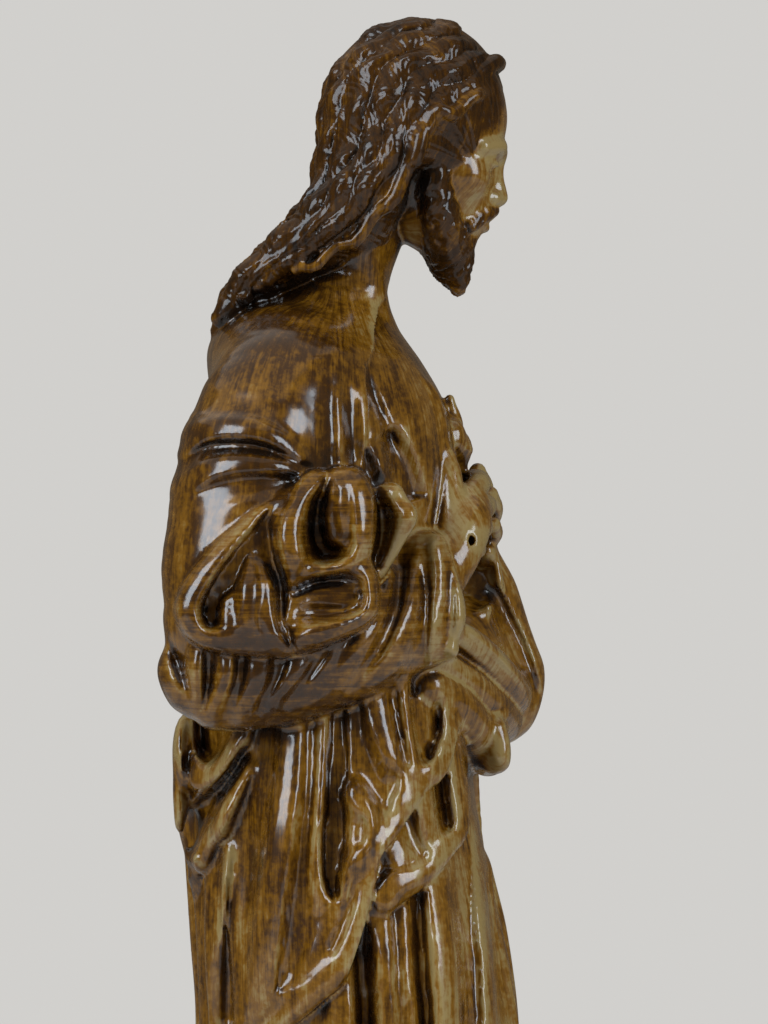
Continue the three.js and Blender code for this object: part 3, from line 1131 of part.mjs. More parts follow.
// only the outermost skin counts: hollows left between the soft masses are filled
const outermost = solidOf(figure).decompose().reduce((a, b) => (b.volume() > a.volume() ? b : a));
const joined = outermost.add(solidOf(makeBase())).getMesh();
const geometry = new THREE.BufferGeometry();
geometry.setAttribute("position", new THREE.BufferAttribute(joined.vertProperties, 3));
geometry.setIndex(new THREE.BufferAttribute(joined.triVerts, 1));
geometry.translate(0, standBack, 0);
geometry.computeVertexNormals();

const statue = new THREE.Mesh(geometry, new THREE.MeshStandardMaterial(finish));
statue.name = "statue";
const part = new THREE.Group();
part.add(statue);

export default part;
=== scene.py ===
import math
import time

import bpy
import numpy as np
from mathutils import Matrix, Vector


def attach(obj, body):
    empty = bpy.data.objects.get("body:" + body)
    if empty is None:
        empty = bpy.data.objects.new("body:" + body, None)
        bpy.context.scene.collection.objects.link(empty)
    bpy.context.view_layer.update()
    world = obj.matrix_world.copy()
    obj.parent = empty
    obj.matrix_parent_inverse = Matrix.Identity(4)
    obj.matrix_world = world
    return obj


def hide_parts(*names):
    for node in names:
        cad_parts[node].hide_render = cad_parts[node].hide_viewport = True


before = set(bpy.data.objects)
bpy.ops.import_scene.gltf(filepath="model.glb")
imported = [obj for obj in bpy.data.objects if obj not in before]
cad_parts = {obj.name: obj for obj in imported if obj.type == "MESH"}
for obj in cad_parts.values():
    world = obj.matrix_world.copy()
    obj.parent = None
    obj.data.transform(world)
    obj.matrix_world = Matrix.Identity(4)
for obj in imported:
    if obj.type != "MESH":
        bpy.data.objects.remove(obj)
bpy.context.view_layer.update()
began = time.time()


def report(stage):
    print(f"{stage}: {time.time() - began:.0f} s")


# The figure is worked up as clay is, in millimetres: soft masses first, then limbs, locks and rolled cloth,
# then folds that raise or hollow the surface along a line. The finished skins are turned into meshes in metres.
figure = {
    "headGrid": 0.62,            # how fine the skin is, in millimetres
    "armGrid": 0.95,
    "skirtGrid": 1.15,
    "quickGrid": 1.9,
    "standBack": 15,             # the plumb line through the crown lies this far behind the middle of the base
    "eyeDistance": 1500,         # the right side is laid out as it looks from here
    "eyeY": -14.7,
    "eyeZ": 459.3,
    "headTilt": math.radians(17),
    "headTurn": math.radians(4),
    "headCentre": (0, -26, 582),
    "mantleThickness": 4.5,
    "cornerThickness": 3.2,
    "cornerTop": 400,
    "bodyTop": 534,
    "bodyFoot": 26,
    "shoulderLine": 480,         # above this the body narrows, and its slope counts
    "neckLine": (488, 516),      # between these the mantle thins out to the neck
    "openingFoot": 372,          # the mantle is open at the breast down to here
    "pleatTop": 410,
    "squareness": 2.2,
    "crestShare": 2.5,           # how much more a crest counts than a valley
    "blendArea": 4.5,            # how gently one line of the relief passes into the next
    "mostTriangles": 190000,
}
# How far out the clay is worked: where nothing is, round a shape's box, and where folds still show
farAway = 30
nearBox = 10
nearSkin = 12
# A fold drawn in a view fades out where the surface turns away from that view, between these depths
turnedAway, turnedTo = -6, 14
both = (-1, 1)               # right and left
corners = [(c & 1, c >> 1 & 1, c >> 2) for c in range(8)]     # of one grid cell


def onSide(s, rows):
    return [[row[0] * s, *row[1:]] for row in rows]


def softUnion(a, b, soft):
    overlap = np.maximum(soft - np.abs(a - b), 0)
    return np.minimum(a, b) - overlap * overlap / (4 * soft)


def smoothstep(value, low, high):
    share = np.clip((value - low) / (high - low), 0, 1)
    return share * share * (3 - 2 * share)


# A soft ridge, 1 on its line and 0 at its reach
def swell(share):
    rest = np.maximum(1 - share * share, 0)
    return rest * rest


def appears(p):
    eyeY, eyeZ = figure["eyeY"], figure["eyeZ"]
    scale = figure["eyeDistance"] / (figure["eyeDistance"] + p[:, 0])
    return eyeY + (p[:, 1] - eyeY) * scale, eyeZ + (p[:, 2] - eyeZ) * scale


# Rows placed where they look right from the eye
def seen(rows):
    made = []
    for x, y, z, *rest in rows:
        scale = (figure["eyeDistance"] + x) / figure["eyeDistance"]
        made.append([x, figure["eyeY"] + (y - figure["eyeY"]) * scale,
                     figure["eyeZ"] + (z - figure["eyeZ"]) * scale, *rest])
    return made


# The four views that folds are drawn in: across and up, and what turns towards the viewer
def looksAt(p):
    return {
        "place": p,
        "right": (*appears(p), -p[:, 0]),
        "left": (p[:, 1], p[:, 2], p[:, 0]),
        "front": (p[:, 0], p[:, 2], -p[:, 1]),
        "back": (p[:, 0], p[:, 2], p[:, 1]),
    }


def hermite(a, b, slopeA, slopeB, t):
    return a + t * (slopeA + t * (3 * (b - a) - 2 * slopeA - slopeB + t * (slopeA + slopeB - 2 * (b - a))))


# A smooth line through points. With ends the line stops at them, without it is a closed ring.
def smoothLine(points, steps, ring=False, even=False):
    points = np.asarray(points, float)
    count = len(points)
    spans = count if ring else count - 1
    made = []
    for i in range(spans):
        b, c = points[i], points[(i + 1) % count]
        if ring:
            a, d = points[i - 1], points[(i + 2) % count]
        elif even:
            a, d = points[max(i - 1, 0)], points[min(i + 2, count - 1)]
        else:
            a = points[i - 1] if i else 2 * b - c
            d = points[i + 2] if i + 2 < count else 2 * c - b
        if ring or even:
            slopeB, slopeC = (c - a) / 2, (d - b) / 2
        else:
            gaps = [max(np.linalg.norm(q[:3] - p[:3]), 1e-4) ** 0.5 for p, q in ((a, b), (b, c), (c, d))]
            slopeB = ((b - a) / gaps[0] - (c - a) / (gaps[0] + gaps[1]) + (c - b) / gaps[1]) * gaps[1]
            slopeC = ((c - b) / gaps[1] - (d - b) / (gaps[1] + gaps[2]) + (d - c) / gaps[2]) * gaps[1]
        for k in range(steps):
            made.append(hermite(b, c, slopeB, slopeC, k / steps))
    if not ring:
        made.append(points[-1])
    return np.array(made, np.float32)


# A table of rows [height, value, value...] read at any height
def byHeight(rows):
    rows = np.array(rows, float)
    heights, values = rows[:, 0], rows[:, 1:]
    fine = [[], []]
    for i in range(len(rows) - 1):
        before, after = max(i - 1, 0), min(i + 2, len(rows) - 1)
        span = heights[i + 1] - heights[i]
        slopeLow = (values[i + 1] - values[before]) / (heights[i + 1] - heights[before]) * span
        slopeHigh = (values[after] - values[i]) / (heights[after] - heights[i]) * span
        for k in range(12):
            fine[0].append(heights[i] + span * k / 12)
            fine[1].append(hermite(values[i], values[i + 1], slopeLow, slopeHigh, k / 12))
    fine[0].append(heights[-1])
    fine[1].append(values[-1])
    columns = np.array(fine[1]).T
    return lambda z: [np.interp(z, fine[0], column).astype(np.float32) for column in columns]


def madeShape(at, low, high, soft, cut):
    return {"at": at, "low": np.array(low, np.float32), "high": np.array(high, np.float32), "soft": soft,
            "cut": cut}


# An ellipsoid, turned about X by tilt and then about Z by turn
def blob(centre, radii, tilt=0, turn=0, soft=4, cut=False):
    turned = np.array((Matrix.Rotation(turn, 3, "Z") @ Matrix.Rotation(tilt, 3, "X")), np.float32)
    radii = np.array(radii, np.float32)
    centre = np.array(centre, np.float32)

    def at(p):
        local = (p - centre) @ turned / radii
        near = np.linalg.norm(local, axis=1)
        slope = np.linalg.norm(local / radii, axis=1) + 1e-9
        return near * (near - 1) / slope

    return madeShape(at, centre - radii.max(), centre + radii.max(), soft, cut)


# A tube through rows [x, y, z, radius]
def tube(rows, soft=3, cut=False, steps=5):
    rows = np.asarray(rows, float)
    line = smoothLine(rows[:, :3], steps)
    share = np.arange(len(line)) / steps
    row = np.minimum(share.astype(int), len(rows) - 2)
    share = share - row
    share = share * share * (3 - 2 * share)
    radius = (rows[row, 3] + (rows[row + 1, 3] - rows[row, 3]) * share).astype(np.float32)

    def at(p):
        best = np.full(len(p), 1e3, np.float32)
        for i in range(len(line) - 1):
            start, edge = line[i], line[i + 1] - line[i]
            off = p - start
            t = np.clip(off @ edge / (edge @ edge + 1e-9), 0, 1)
            away = np.linalg.norm(off - t[:, None] * edge, axis=1)
            np.minimum(best, away - radius[i] - t * (radius[i + 1] - radius[i]), out=best)
        return best

    return madeShape(at, (line - radius[:, None]).min(0), (line + radius[:, None]).max(0), soft, cut)


# Distance to a line drawn in a view, with the side it is passed on and how far along
def toLine(u, v, line):
    near = np.full(len(u), 1e6, np.float32)
    side = np.zeros(len(u), np.float32)
    share = np.zeros(len(u), np.float32)
    for i in range(len(line) - 1):
        eu, ev = line[i + 1] - line[i]
        du, dv = u - line[i][0], v - line[i][1]
        t = np.clip((du * eu + dv * ev) / (eu * eu + ev * ev + 1e-9), 0, 1)
        du, dv = du - t * eu, dv - t * ev
        away = du * du + dv * dv
        closer = away < near
        near = np.where(closer, away, near)
        side = np.where(closer, eu * dv - ev * du, side)
        share = np.where(closer, i + t, share)
    return np.sqrt(near), side, share / (len(line) - 1)


# An outline drawn in the right side's view, laid at a depth and given a thickness. lean tips its middle plane
# by so much for each millimetre back and up, and round is the radius of its edge.
def cushion(outline, depth, half, round=None, lean=(0, 0), soft=2, cut=False):
    round = half if round is None else round
    ring = smoothLine(outline, 3, ring=True)
    ring = np.vstack([ring, ring[:1]])
    low, high = ring.min(0), ring.max(0)
    middle = (low + high) / 2
    spread = half + abs(lean[0]) * (high[0] - middle[0]) + abs(lean[1]) * (high[1] - middle[1])
    slack = 6

    def at(p):
        u, v = appears(p)
        near = toLine(u, v, ring)[0]
        inside = np.zeros(len(u), bool)
        for (pu, pv), (qu, qv) in zip(ring[:-1], ring[1:]):
            if pv != qv:
                inside ^= ((pv > v) != (qv > v)) & (u < pu + (v - pv) * (qu - pu) / (qv - pv))
        edge = np.where(inside, -near, near) + round
        plane = p[:, 0] - depth - lean[0] * (p[:, 1] - middle[0]) - lean[1] * (p[:, 2] - middle[1])
        face = np.abs(plane) - half + round
        beyond = np.hypot(np.maximum(edge, 0), np.maximum(face, 0))
        return np.minimum(np.maximum(edge, face), 0) + beyond - round

    return madeShape(at, [depth - spread, low[0] - slack, low[1] - slack],
                     [depth + spread, high[0] + slack, high[1] + slack], soft, cut)


def inView(u, v, low, high, depth):
    return np.nonzero((u > low[0]) & (u < high[0]) & (v > low[1]) & (v < high[1]) & (depth > turnedAway))[0]


# A fold raises (or, below zero, hollows) the surface along a line drawn in one view, from its top down.
# reach is how far it spreads to either side: to the back and to the front of a line seen from a side.
def fold(view, line, rise, reach, mid=0, fade=0.25):
    points = smoothLine(line, 4, even=True)
    low, high = points.min(0) - max(reach), points.max(0) + max(reach)
    middle = -mid if view in ("right", "front") else mid

    def at(looks, count):
        u, v, towards = looks[view]
        made = np.zeros(count, np.float32)
        near = inView(u, v, low, high, towards - middle)
        if len(near):
            away, side, share = toLine(u[near], v[near], points)
            ends = np.clip(share / fade, 0, 1) * np.clip((1 - share) / fade, 0, 1) if fade else 1
            spread = np.where(side > 0, reach[0], reach[1])
            facing = smoothstep(towards[near] - middle, turnedAway, turnedTo)
            made[near] = rise * facing * smoothstep(ends, -0.3, 1) * swell(away / spread)
        return made

    return at


def right(line, rise, reach, **options):
    return fold("right", line, rise, reach, **options)


# Cloth drawn in the right view by its crest lines and valley lines, rows of [back, up, height]. Every place
# takes its height from the lines near it, and crests count for more, so they come out broader than valleys.
def relief(crests, valleys, mid=0, reach=9, rise=1.3):
    groups = ((crests, figure["crestShare"]), (valleys, 1))
    lines = [(smoothLine(rows, 4, even=True), share) for group, share in groups for rows in group]
    everything = np.vstack([line for line, _ in lines])[:, :2]
    low, high = everything.min(0) - reach, everything.max(0) + reach

    def at(looks, count):
        u, v, towards = looks["right"]
        made = np.zeros(count, np.float32)
        near = inView(u, v, low, high, towards + mid)
        if not len(near):
            return made
        nearest = np.full(len(near), 1e3, np.float32)
        heights, weights = 0, 0
        for line, share in lines:
            away, _, along = toLine(u[near], v[near], line[:, :2])
            weight = share * (away * away + figure["blendArea"]) ** -2
            heights = heights + weight * np.interp(along, np.linspace(0, 1, len(line)), line[:, 2])
            weights = weights + weight
            nearest = np.minimum(nearest, away)
        inner = smoothstep(-nearest, -reach, -reach * 0.4)
        made[near] = rise * heights / weights * inner * smoothstep(towards[near] + mid, turnedAway, turnedTo)
        return made

    return at


def inBox(p, low, high, margin):
    return np.nonzero(((p > low - margin) & (p < high + margin)).all(1))[0]


# A group of shapes joined softly, with folds on it
def form(name, soft, shapes, folds=()):
    solid = [s for s in shapes if not s["cut"]]

    def at(p):
        d = np.full(len(p), farAway, np.float32)
        for s in shapes:
            near = inBox(p, s["low"], s["high"], nearBox + s["soft"])
            if not len(near):
                continue
            made = s["at"](p[near])
            d[near] = -softUnion(-d[near], made, s["soft"]) if s["cut"] else softUnion(d[near], made, s["soft"])
        close = np.nonzero(np.abs(d) < nearSkin)[0]
        if folds and len(close):
            looks = looksAt(p[close])
            for f in folds:
                d[close] -= f(looks, len(close))
        return d

    return {"name": name, "at": at, "soft": soft, "low": np.min([s["low"] for s in solid], 0),
            "high": np.max([s["high"] for s in solid], 0)}


# The torso and skirts: height, half width, back and front
bodyShape = byHeight([
    [26, 70, 45, -67], [40, 71, 46, -69], [100, 69, 44, -67], [200, 66, 41, -62], [290, 64, 38, -57],
    [320, 63, 40, -53], [345, 62, 42, -47], [370, 60, 44, -44], [400, 56, 40, -41], [430, 54, 38, -39],
    [455, 55, 38, -39], [480, 55, 38, -38], [495, 51, 37, -35], [508, 42, 35, -28], [518, 30, 31, -21],
    [527, 20, 22, -15], [534, 12, 12, -10],
])


def wrapped(degrees):
    return (degrees + 180) % 360 - 180


# The angle round the body of a point that shows on its right side: 0 in front, 90 at the right
def angleOnRight(point):
    y, z = point
    halfWidth, back, front = (float(v) for v in bodyShape(z))
    middle = (back + front) / 2
    thick = figure["mantleThickness"]
    across = abs(y - middle) / ((back - front) / 2 + thick)
    x = -(halfWidth + thick) * max(1 - across ** figure["squareness"], 0) ** (1 / figure["squareness"])
    return [math.degrees(math.atan2(-x, middle - y)), z]


# Where the mantle's lower edge hangs, by the angle round the body, starting left of the front
mantleHem = byHeight([
    [-20, 392], [0, 396], [12, 394],
    *map(angleOnRight, [(-40, 393), (-37, 387), (-35, 378), (-32, 372), (-27, 370), (-25, 366), (-21, 360),
                        (-17, 354), (-13, 349.6), (-12, 343), (-10, 334), (-7, 323), (-4, 314), (-1, 308),
                        (4, 304), (12, 297), (23, 288), (33, 280)]),
    [150, 252], [165, 205], [180, 158], [196, 118], [214, 95], [245, 86], [280, 88], [300, 106], [314, 170],
    [324, 265], [334, 352], [350, 392], [360, 396],
])
# The corner of the mantle that hangs out below that edge
cornerHem = byHeight(list(map(angleOnRight, [(-43, 400), (-41.5, 357), (-40.4, 352.4), (-37, 349), (-33, 344),
                                             (-29, 339), (-24, 336), (-19, 333), (-14.6, 328), (-12, 324),
                                             (-8, 335), (-4, 400)])))
# How far round the mantle's front edges lie, right and left, by height
lapels = byHeight([
    [372, 0, 0], [386, 12, -14], [405, 50, -50], [440, 80, -66], [472, 84, -74], [492, 82, -76],
    [505, 80, -72], [516, 64, -58], [526, 44, -42], [534, 34, -34],
])
# Pleats of the tunic: angle at the waist and at the hem, rise and reach
pleats = [(i * 17.2 + math.sin(i * 2.4) * 4, i * 17.2 + math.sin(i * 2.4) * 8,
           4.6 + 1.4 * math.sin(i * 1.7), 8.5 + 2 * math.cos(i * 2.9))
          for i in range(21) if i not in (1, 2, 3, 4, 5)]
# Long folds down the mantle's back and left: angle and height at the top and at the foot, rise and reach
longFolds = [
    (124, 380, 132, 240, 4.5, 8), (140, 410, 143, 225, 3.6, 7), (152, 470, 158, 180, 5, 9),
    (172, 490, 170, 120, 5.6, 10), (194, 490, 189, 95, 4.6, 8), (212, 470, 207, 70, 5.4, 10),
    (232, 430, 228, 70, 4.6, 8), (250, 400, 247, 70, 5.4, 9), (268, 396, 268, 70, 4.6, 8),
    (286, 396, 289, 80, 5.4, 9), (302, 396, 307, 120, 4.4, 7), (314, 396, 319, 200, 4.4, 6),
]
tunicFolds = [
    right([[-4, 506], [-8, 490], [-11, 476]], 2.6, [3, 5]),
    right([[-7, 508], [-13, 493], [-18, 480]], -2, [2, 3]),
    right([[-12, 492], [-14, 482], [-14, 470]], 2.5, [5, 4]),
    right([[-14, 486], [-20, 476], [-24, 462]], -4.4, [7, 7], fade=0.15),
    relief([
        [[-1, 308, 2], [-1.5, 290, 3.4], [-2, 250, 3], [-3, 120, 1]],
        [[-14, 332, 1], [-15.6, 315, 4], [-17, 290, 4.4], [-19, 120, 1]],
        [[-20.4, 332, 1], [-22, 300, 2.4], [-23.6, 280, 2], [-26, 120, 1]],
        [[-30, 348, 2], [-33, 320, 5], [-35, 290, 5], [-40, 120, 1]],
        [[-46, 352, 1], [-48, 320, 3], [-50, 290, 3], [-54, 120, 1]],
    ], [
        [[-5, 328, -3], [-7.4, 300, -5], [-8.6, 280, -5], [-11, 120, -1]],
        [[-18.6, 332, -1], [-19.8, 300, 0], [-21, 280, 0], [-23, 120, 0]],
        [[-25, 334, -1], [-27, 300, -1.6], [-28.6, 280, -1.6], [-32, 120, 0]],
        [[-42, 352, 0], [-43, 320, 0.4], [-45, 290, 0.4], [-49, 120, 0]],
        [[-50.6, 336, -1], [-51.6, 322, -3], [-53, 306, -2], [-56, 280, 0]],
    ], reach=9),
    fold("front", [[-17, 338], [-19, 320], [-18, 300]], -5, [3, 3]),
    fold("front", [[-9, 345], [-12, 300], [-14, 200], [-16, 80]], 3, [5, 4], fade=0.1),
    fold("front", [[8, 350], [10, 300], [12, 200], [12, 80]], 3, [5, 5], fade=0.1),
    fold("front", [[12, 500], [14, 480], [13, 462]], -2, [3, 3]),
    fold("front", [[24, 504], [28, 484], [28, 462]], 2.4, [4, 4]),
    fold("front", [[-22, 504], [-26, 488], [-27, 470]], 2, [4, 4]),
]
mantleFolds = [
    right([[3, 508], [5, 490], [4, 472]], -4, [3, 4]),
    right([[-2, 508], [-3, 490], [-5, 473]], -4.4, [3, 5]),
    right([[1, 502], [0, 488], [0, 474]], 2.4, [2.4, 2]),
    right([[8, 498], [8, 486], [8, 474]], 2, [3, 2.4]),
    # below the elbow: the long folds down to the hem, and the deep one that ends in a loop
    relief([
        [[15, 396, 2.4], [16.4, 372, 4], [19, 355, 5.4], [21.4, 340, 6], [23.4, 330, 6.2], [25, 315, 6.2],
         [26.4, 300, 5.6], [28, 270, 4], [30, 220, 2]],
        [[4.8, 397, 2], [5.8, 375, 2.6], [6.8, 360, 3], [7.8, 350, 3], [7.8, 340, 3], [6.8, 333, 2.6],
         [4.6, 328.6, 2], [1, 327, 1.5]],
        [[-5, 365, 4], [-10.6, 357, 5.6], [-9.6, 347, 5.6], [-5, 340, 4.6], [-1, 331, 3]],
        [[-11, 400, 2], [-14.5, 388, 4], [-18, 379, 4.6], [-21.4, 370, 3.6]],
        [[-20.8, 402, 3], [-21.8, 390, 3.6], [-23.4, 380, 3.6], [-24.8, 370, 3]],
        [[-34.8, 398, 2], [-35.6, 386, 2.8], [-33.6, 377, 2]],
        [[3, 321, 2], [6, 313, 2.4], [12, 306, 2.2]],
        # the rolled edge
        [[-34, 381, 4], [-31, 375, 4], [-26.8, 372.4, 3], [-23.4, 367, 3.6], [-19.4, 361.6, 3.6],
         [-15.4, 355.6, 3.6], [-11.4, 350.6, 3.6], [-10.2, 343, 3.4], [-8.4, 334, 3], [-5.4, 323, 3],
         [-2.4, 315, 3], [0.4, 309.8, 3], [5, 306, 3], [13, 299, 3], [24, 290, 3], [34, 282, 2.6]],
    ], [
        [[1.6, 400, -6], [2, 375, -12], [2.8, 360, -12], [3.6, 348, -12], [3, 337, -9], [1, 331.6, -4]],
        [[9, 392, 0], [9.4, 365, 0], [11, 345, 0], [12.6, 325, 0.6], [15.4, 306, 1]],
        [[-3, 398, -2], [-5, 382, -1], [-11, 369, -1], [-16.6, 360, 0]],
        [[-18.4, 400, 0], [-20.2, 388, -1], [-22.4, 376, -1]],
        [[-25.6, 402, -6], [-27.4, 388, -10], [-29, 378, -7]],
        [[-31.6, 400, -3], [-31.8, 388, -5], [-31, 379, -3]],
        [[-7.4, 355.4, 2], [-7, 350, 2]],
        [[22.6, 396, 0], [25, 374, 0], [28.6, 356, 0], [32, 338, 0], [35, 320, 0], [37.6, 298, 0],
         [40, 260, 0]],
        [[-19, 371, 0], [-15, 364, 0], [-13.4, 356, 1]],
        [[-5, 338, 0], [-2, 325, 0], [3, 314, 0]],
    ], reach=9),
    # the loop of cloth behind the hip
    relief([
        [[50, 394, 3], [50, 381, 4.4], [46.6, 371, 4.6], [41, 373, 4.8], [36.2, 381, 4.4], [30.6, 390, 3]],
        [[29.6, 374, 1], [35.6, 364, 4], [41.6, 355, 5], [47.6, 344, 4.4]],
        [[38, 346, 1], [40, 325, 3], [41, 300, 3], [42, 240, 1]],
    ], [
        [[46.4, 390, -3], [46, 381, -6], [42.6, 380, -5.6], [38.8, 386, -3]],
        [[31.4, 378, -2], [37.6, 369, -4], [43.4, 361, -5.6], [48.6, 351, -5.6], [51, 342, -4]],
        [[26.6, 390, -1], [28, 376, -1.5], [33, 358, -1], [35.6, 340, -1], [37, 320, 0], [38, 290, 0]],
    ], mid=-16, reach=8),
    right([[53, 394], [54.4, 376], [52.6, 352], [48, 335]], 6, [6, 4], mid=-14),
    # across the back between the shoulders, and the pull towards the left hip
    fold("back", [[-44, 500], [-24, 488], [4, 484], [32, 500]], 2.6, [6, 8]),
    fold("back", [[-50, 478], [-28, 462], [2, 456], [42, 482]], 3.2, [7, 9]),
    fold("back", [[-48, 450], [-26, 430], [8, 422], [46, 456]], 3, [7, 9]),
    fold("back", [[-46, 424], [-20, 400], [12, 392], [44, 420]], 2.4, [6, 8]),
    fold("back", [[-30, 420], [-6, 360], [14, 300], [24, 220]], 2.4, [7, 7]),
]
cornerFolds = [
    relief([
        [[-26, 372, 2], [-28, 362, 3.4], [-30.4, 350, 2]],
        [[-37, 380, 2], [-39, 364, 3], [-39.8, 356, 3], [-38, 352, 3], [-33.4, 346, 3], [-28.6, 341.4, 3],
         [-24, 338.4, 3], [-19, 335.6, 3], [-15, 330.8, 2.6]],
        [[-17, 352, 1], [-20, 345, 1.6], [-24, 343, 1]],
    ], [
        [[-32.6, 378, -1.6], [-34.4, 364, -2], [-36, 354, -1]],
        [[-21.6, 362, -1], [-23.4, 352, -1], [-28, 343, 0]],
    ], reach=7),
]
hemMiddle = 160              # the hem's table runs half a turn to either side of this angle
cornerTurns = (20, 90)       # between which angles the corner hangs out
roughDepth = 8               # how deep the folds may lie, where the body is only roughly measured
nearBody = 26                # and how near the body they are worked out


# How far a point lies below a hem, square to it
def aboveHem(hem, turn, z, perDegree):
    slope = (hem(turn + 1)[0] - hem(turn - 1)[0]) / (2 * perDegree)
    return (hem(turn)[0] - z) / np.hypot(1, slope)


def bodyAt(p):
    x, y, z = p.T
    top, bottom = figure["bodyTop"], figure["bodyFoot"]
    halfWidth, back, front = bodyShape(z)
    middle, halfDepth = (back + front) / 2, (back - front) / 2
    away = np.hypot(x, y - middle) + 1e-6
    power = figure["squareness"]
    round = ((np.abs(x) / halfWidth) ** power + (np.abs(y - middle) / halfDepth) ** power) ** (1 / power)
    slope = (bodyShape(np.minimum(z + 3, top))[0] - bodyShape(z - 3)[0]) / 6
    slope = np.where(z > figure["shoulderLine"], slope, 0)
    bare = away * (1 - 1 / np.maximum(round, 1e-3)) / np.hypot(1, slope)
    made = bare - roughDepth
    near = np.nonzero(np.abs(bare) < nearBody)[0]
    if not len(near):
        return np.maximum.reduce([made, z - top, bottom - z])
    q, z2, bare, away = p[near], z[near], bare[near], away[near]
    degrees = np.degrees(np.arctan2(-q[:, 0], middle[near] - q[:, 1]))
    turn = degrees % 360
    perDegree = away * math.radians(1)
    looks = looksAt(q)
    count = len(near)
    down = np.maximum((figure["pleatTop"] - z2) / figure["pleatTop"], 0)
    deep = smoothstep(down, 0, 0.55)
    tunic = bare.copy()
    for waist, hem, rise, reach in pleats:
        off = np.abs(wrapped(turn - waist - (hem - waist) * down)) * perDegree
        tunic -= rise * deep * swell(off / reach)
    for f in tunicFolds:
        tunic -= f(looks, count)
    cloth = bare - figure["mantleThickness"] + 3 * smoothstep(z2, *figure["neckLine"])
    for topTurn, high, footTurn, foot, rise, reach in longFolds:
        t = (high - z2) / (high - foot)
        off = np.abs(wrapped(turn - topTurn - (footTurn - topTurn) * t)) * perDegree
        cloth -= rise * smoothstep(t, -0.1, 0.5) * swell(off / reach)
    for f in mantleFolds:
        cloth -= f(looks, count)
    mantle = np.maximum(cloth, aboveHem(mantleHem, wrapped(turn - hemMiddle) + hemMiddle, z2, perDegree))
    lapelRight, lapelLeft = lapels(z2)
    opening = np.minimum(lapelRight - degrees, degrees - lapelLeft) * perDegree
    mantle = np.where(z2 > figure["openingFoot"], np.maximum(mantle, opening), mantle)
    body = np.minimum(tunic, mantle)
    corner = bare - figure["cornerThickness"]
    for f in cornerFolds:
        corner -= f(looks, count)
    corner = np.maximum.reduce([corner, aboveHem(cornerHem, turn, z2, perDegree), z2 - figure["cornerTop"]])
    hangs = (turn > cornerTurns[0]) & (turn < cornerTurns[1])
    made[near] = np.where(hangs, np.minimum(body, corner), body)
    return np.maximum.reduce([made, z - top, bottom - z])


# Right arm: the mantle over the shoulder and the upper arm
armMid = -50
rightShoulder = form("shoulder", 16, [
    tube(seen([[-34, 14, 503, 20], [-50, 22, 490, 25], [-60, 29, 466, 25.5], [-66, 34, 444, 24],
               [-68, 38, 424, 20]]), soft=6),
], [
    relief([
        [[52, 480, 1], [45, 486, 2.6], [34, 487, 3.2], [24, 484.6, 3], [14, 476.6, 2]],
        [[52, 468, 0.6], [43, 474.4, 2], [31, 476, 2.4], [18, 474.6, 2.4], [11, 471.6, 1.4]],
    ], [
        [[54, 474, 0], [44, 480, -0.8], [30, 480.8, -1.4], [18, 478, -1.6], [9, 471.4, -2]],
        [[50, 462, 0], [38, 467, -0.8], [26, 469.4, -1], [16, 470, -1]],
        [[46, 495, 0], [28, 494, 0], [12, 485, 0], [7, 477, -0.6]],
        [[50, 450, 0], [32, 457, 0], [20, 462, 0]],
    ], mid=armMid, reach=9),
])

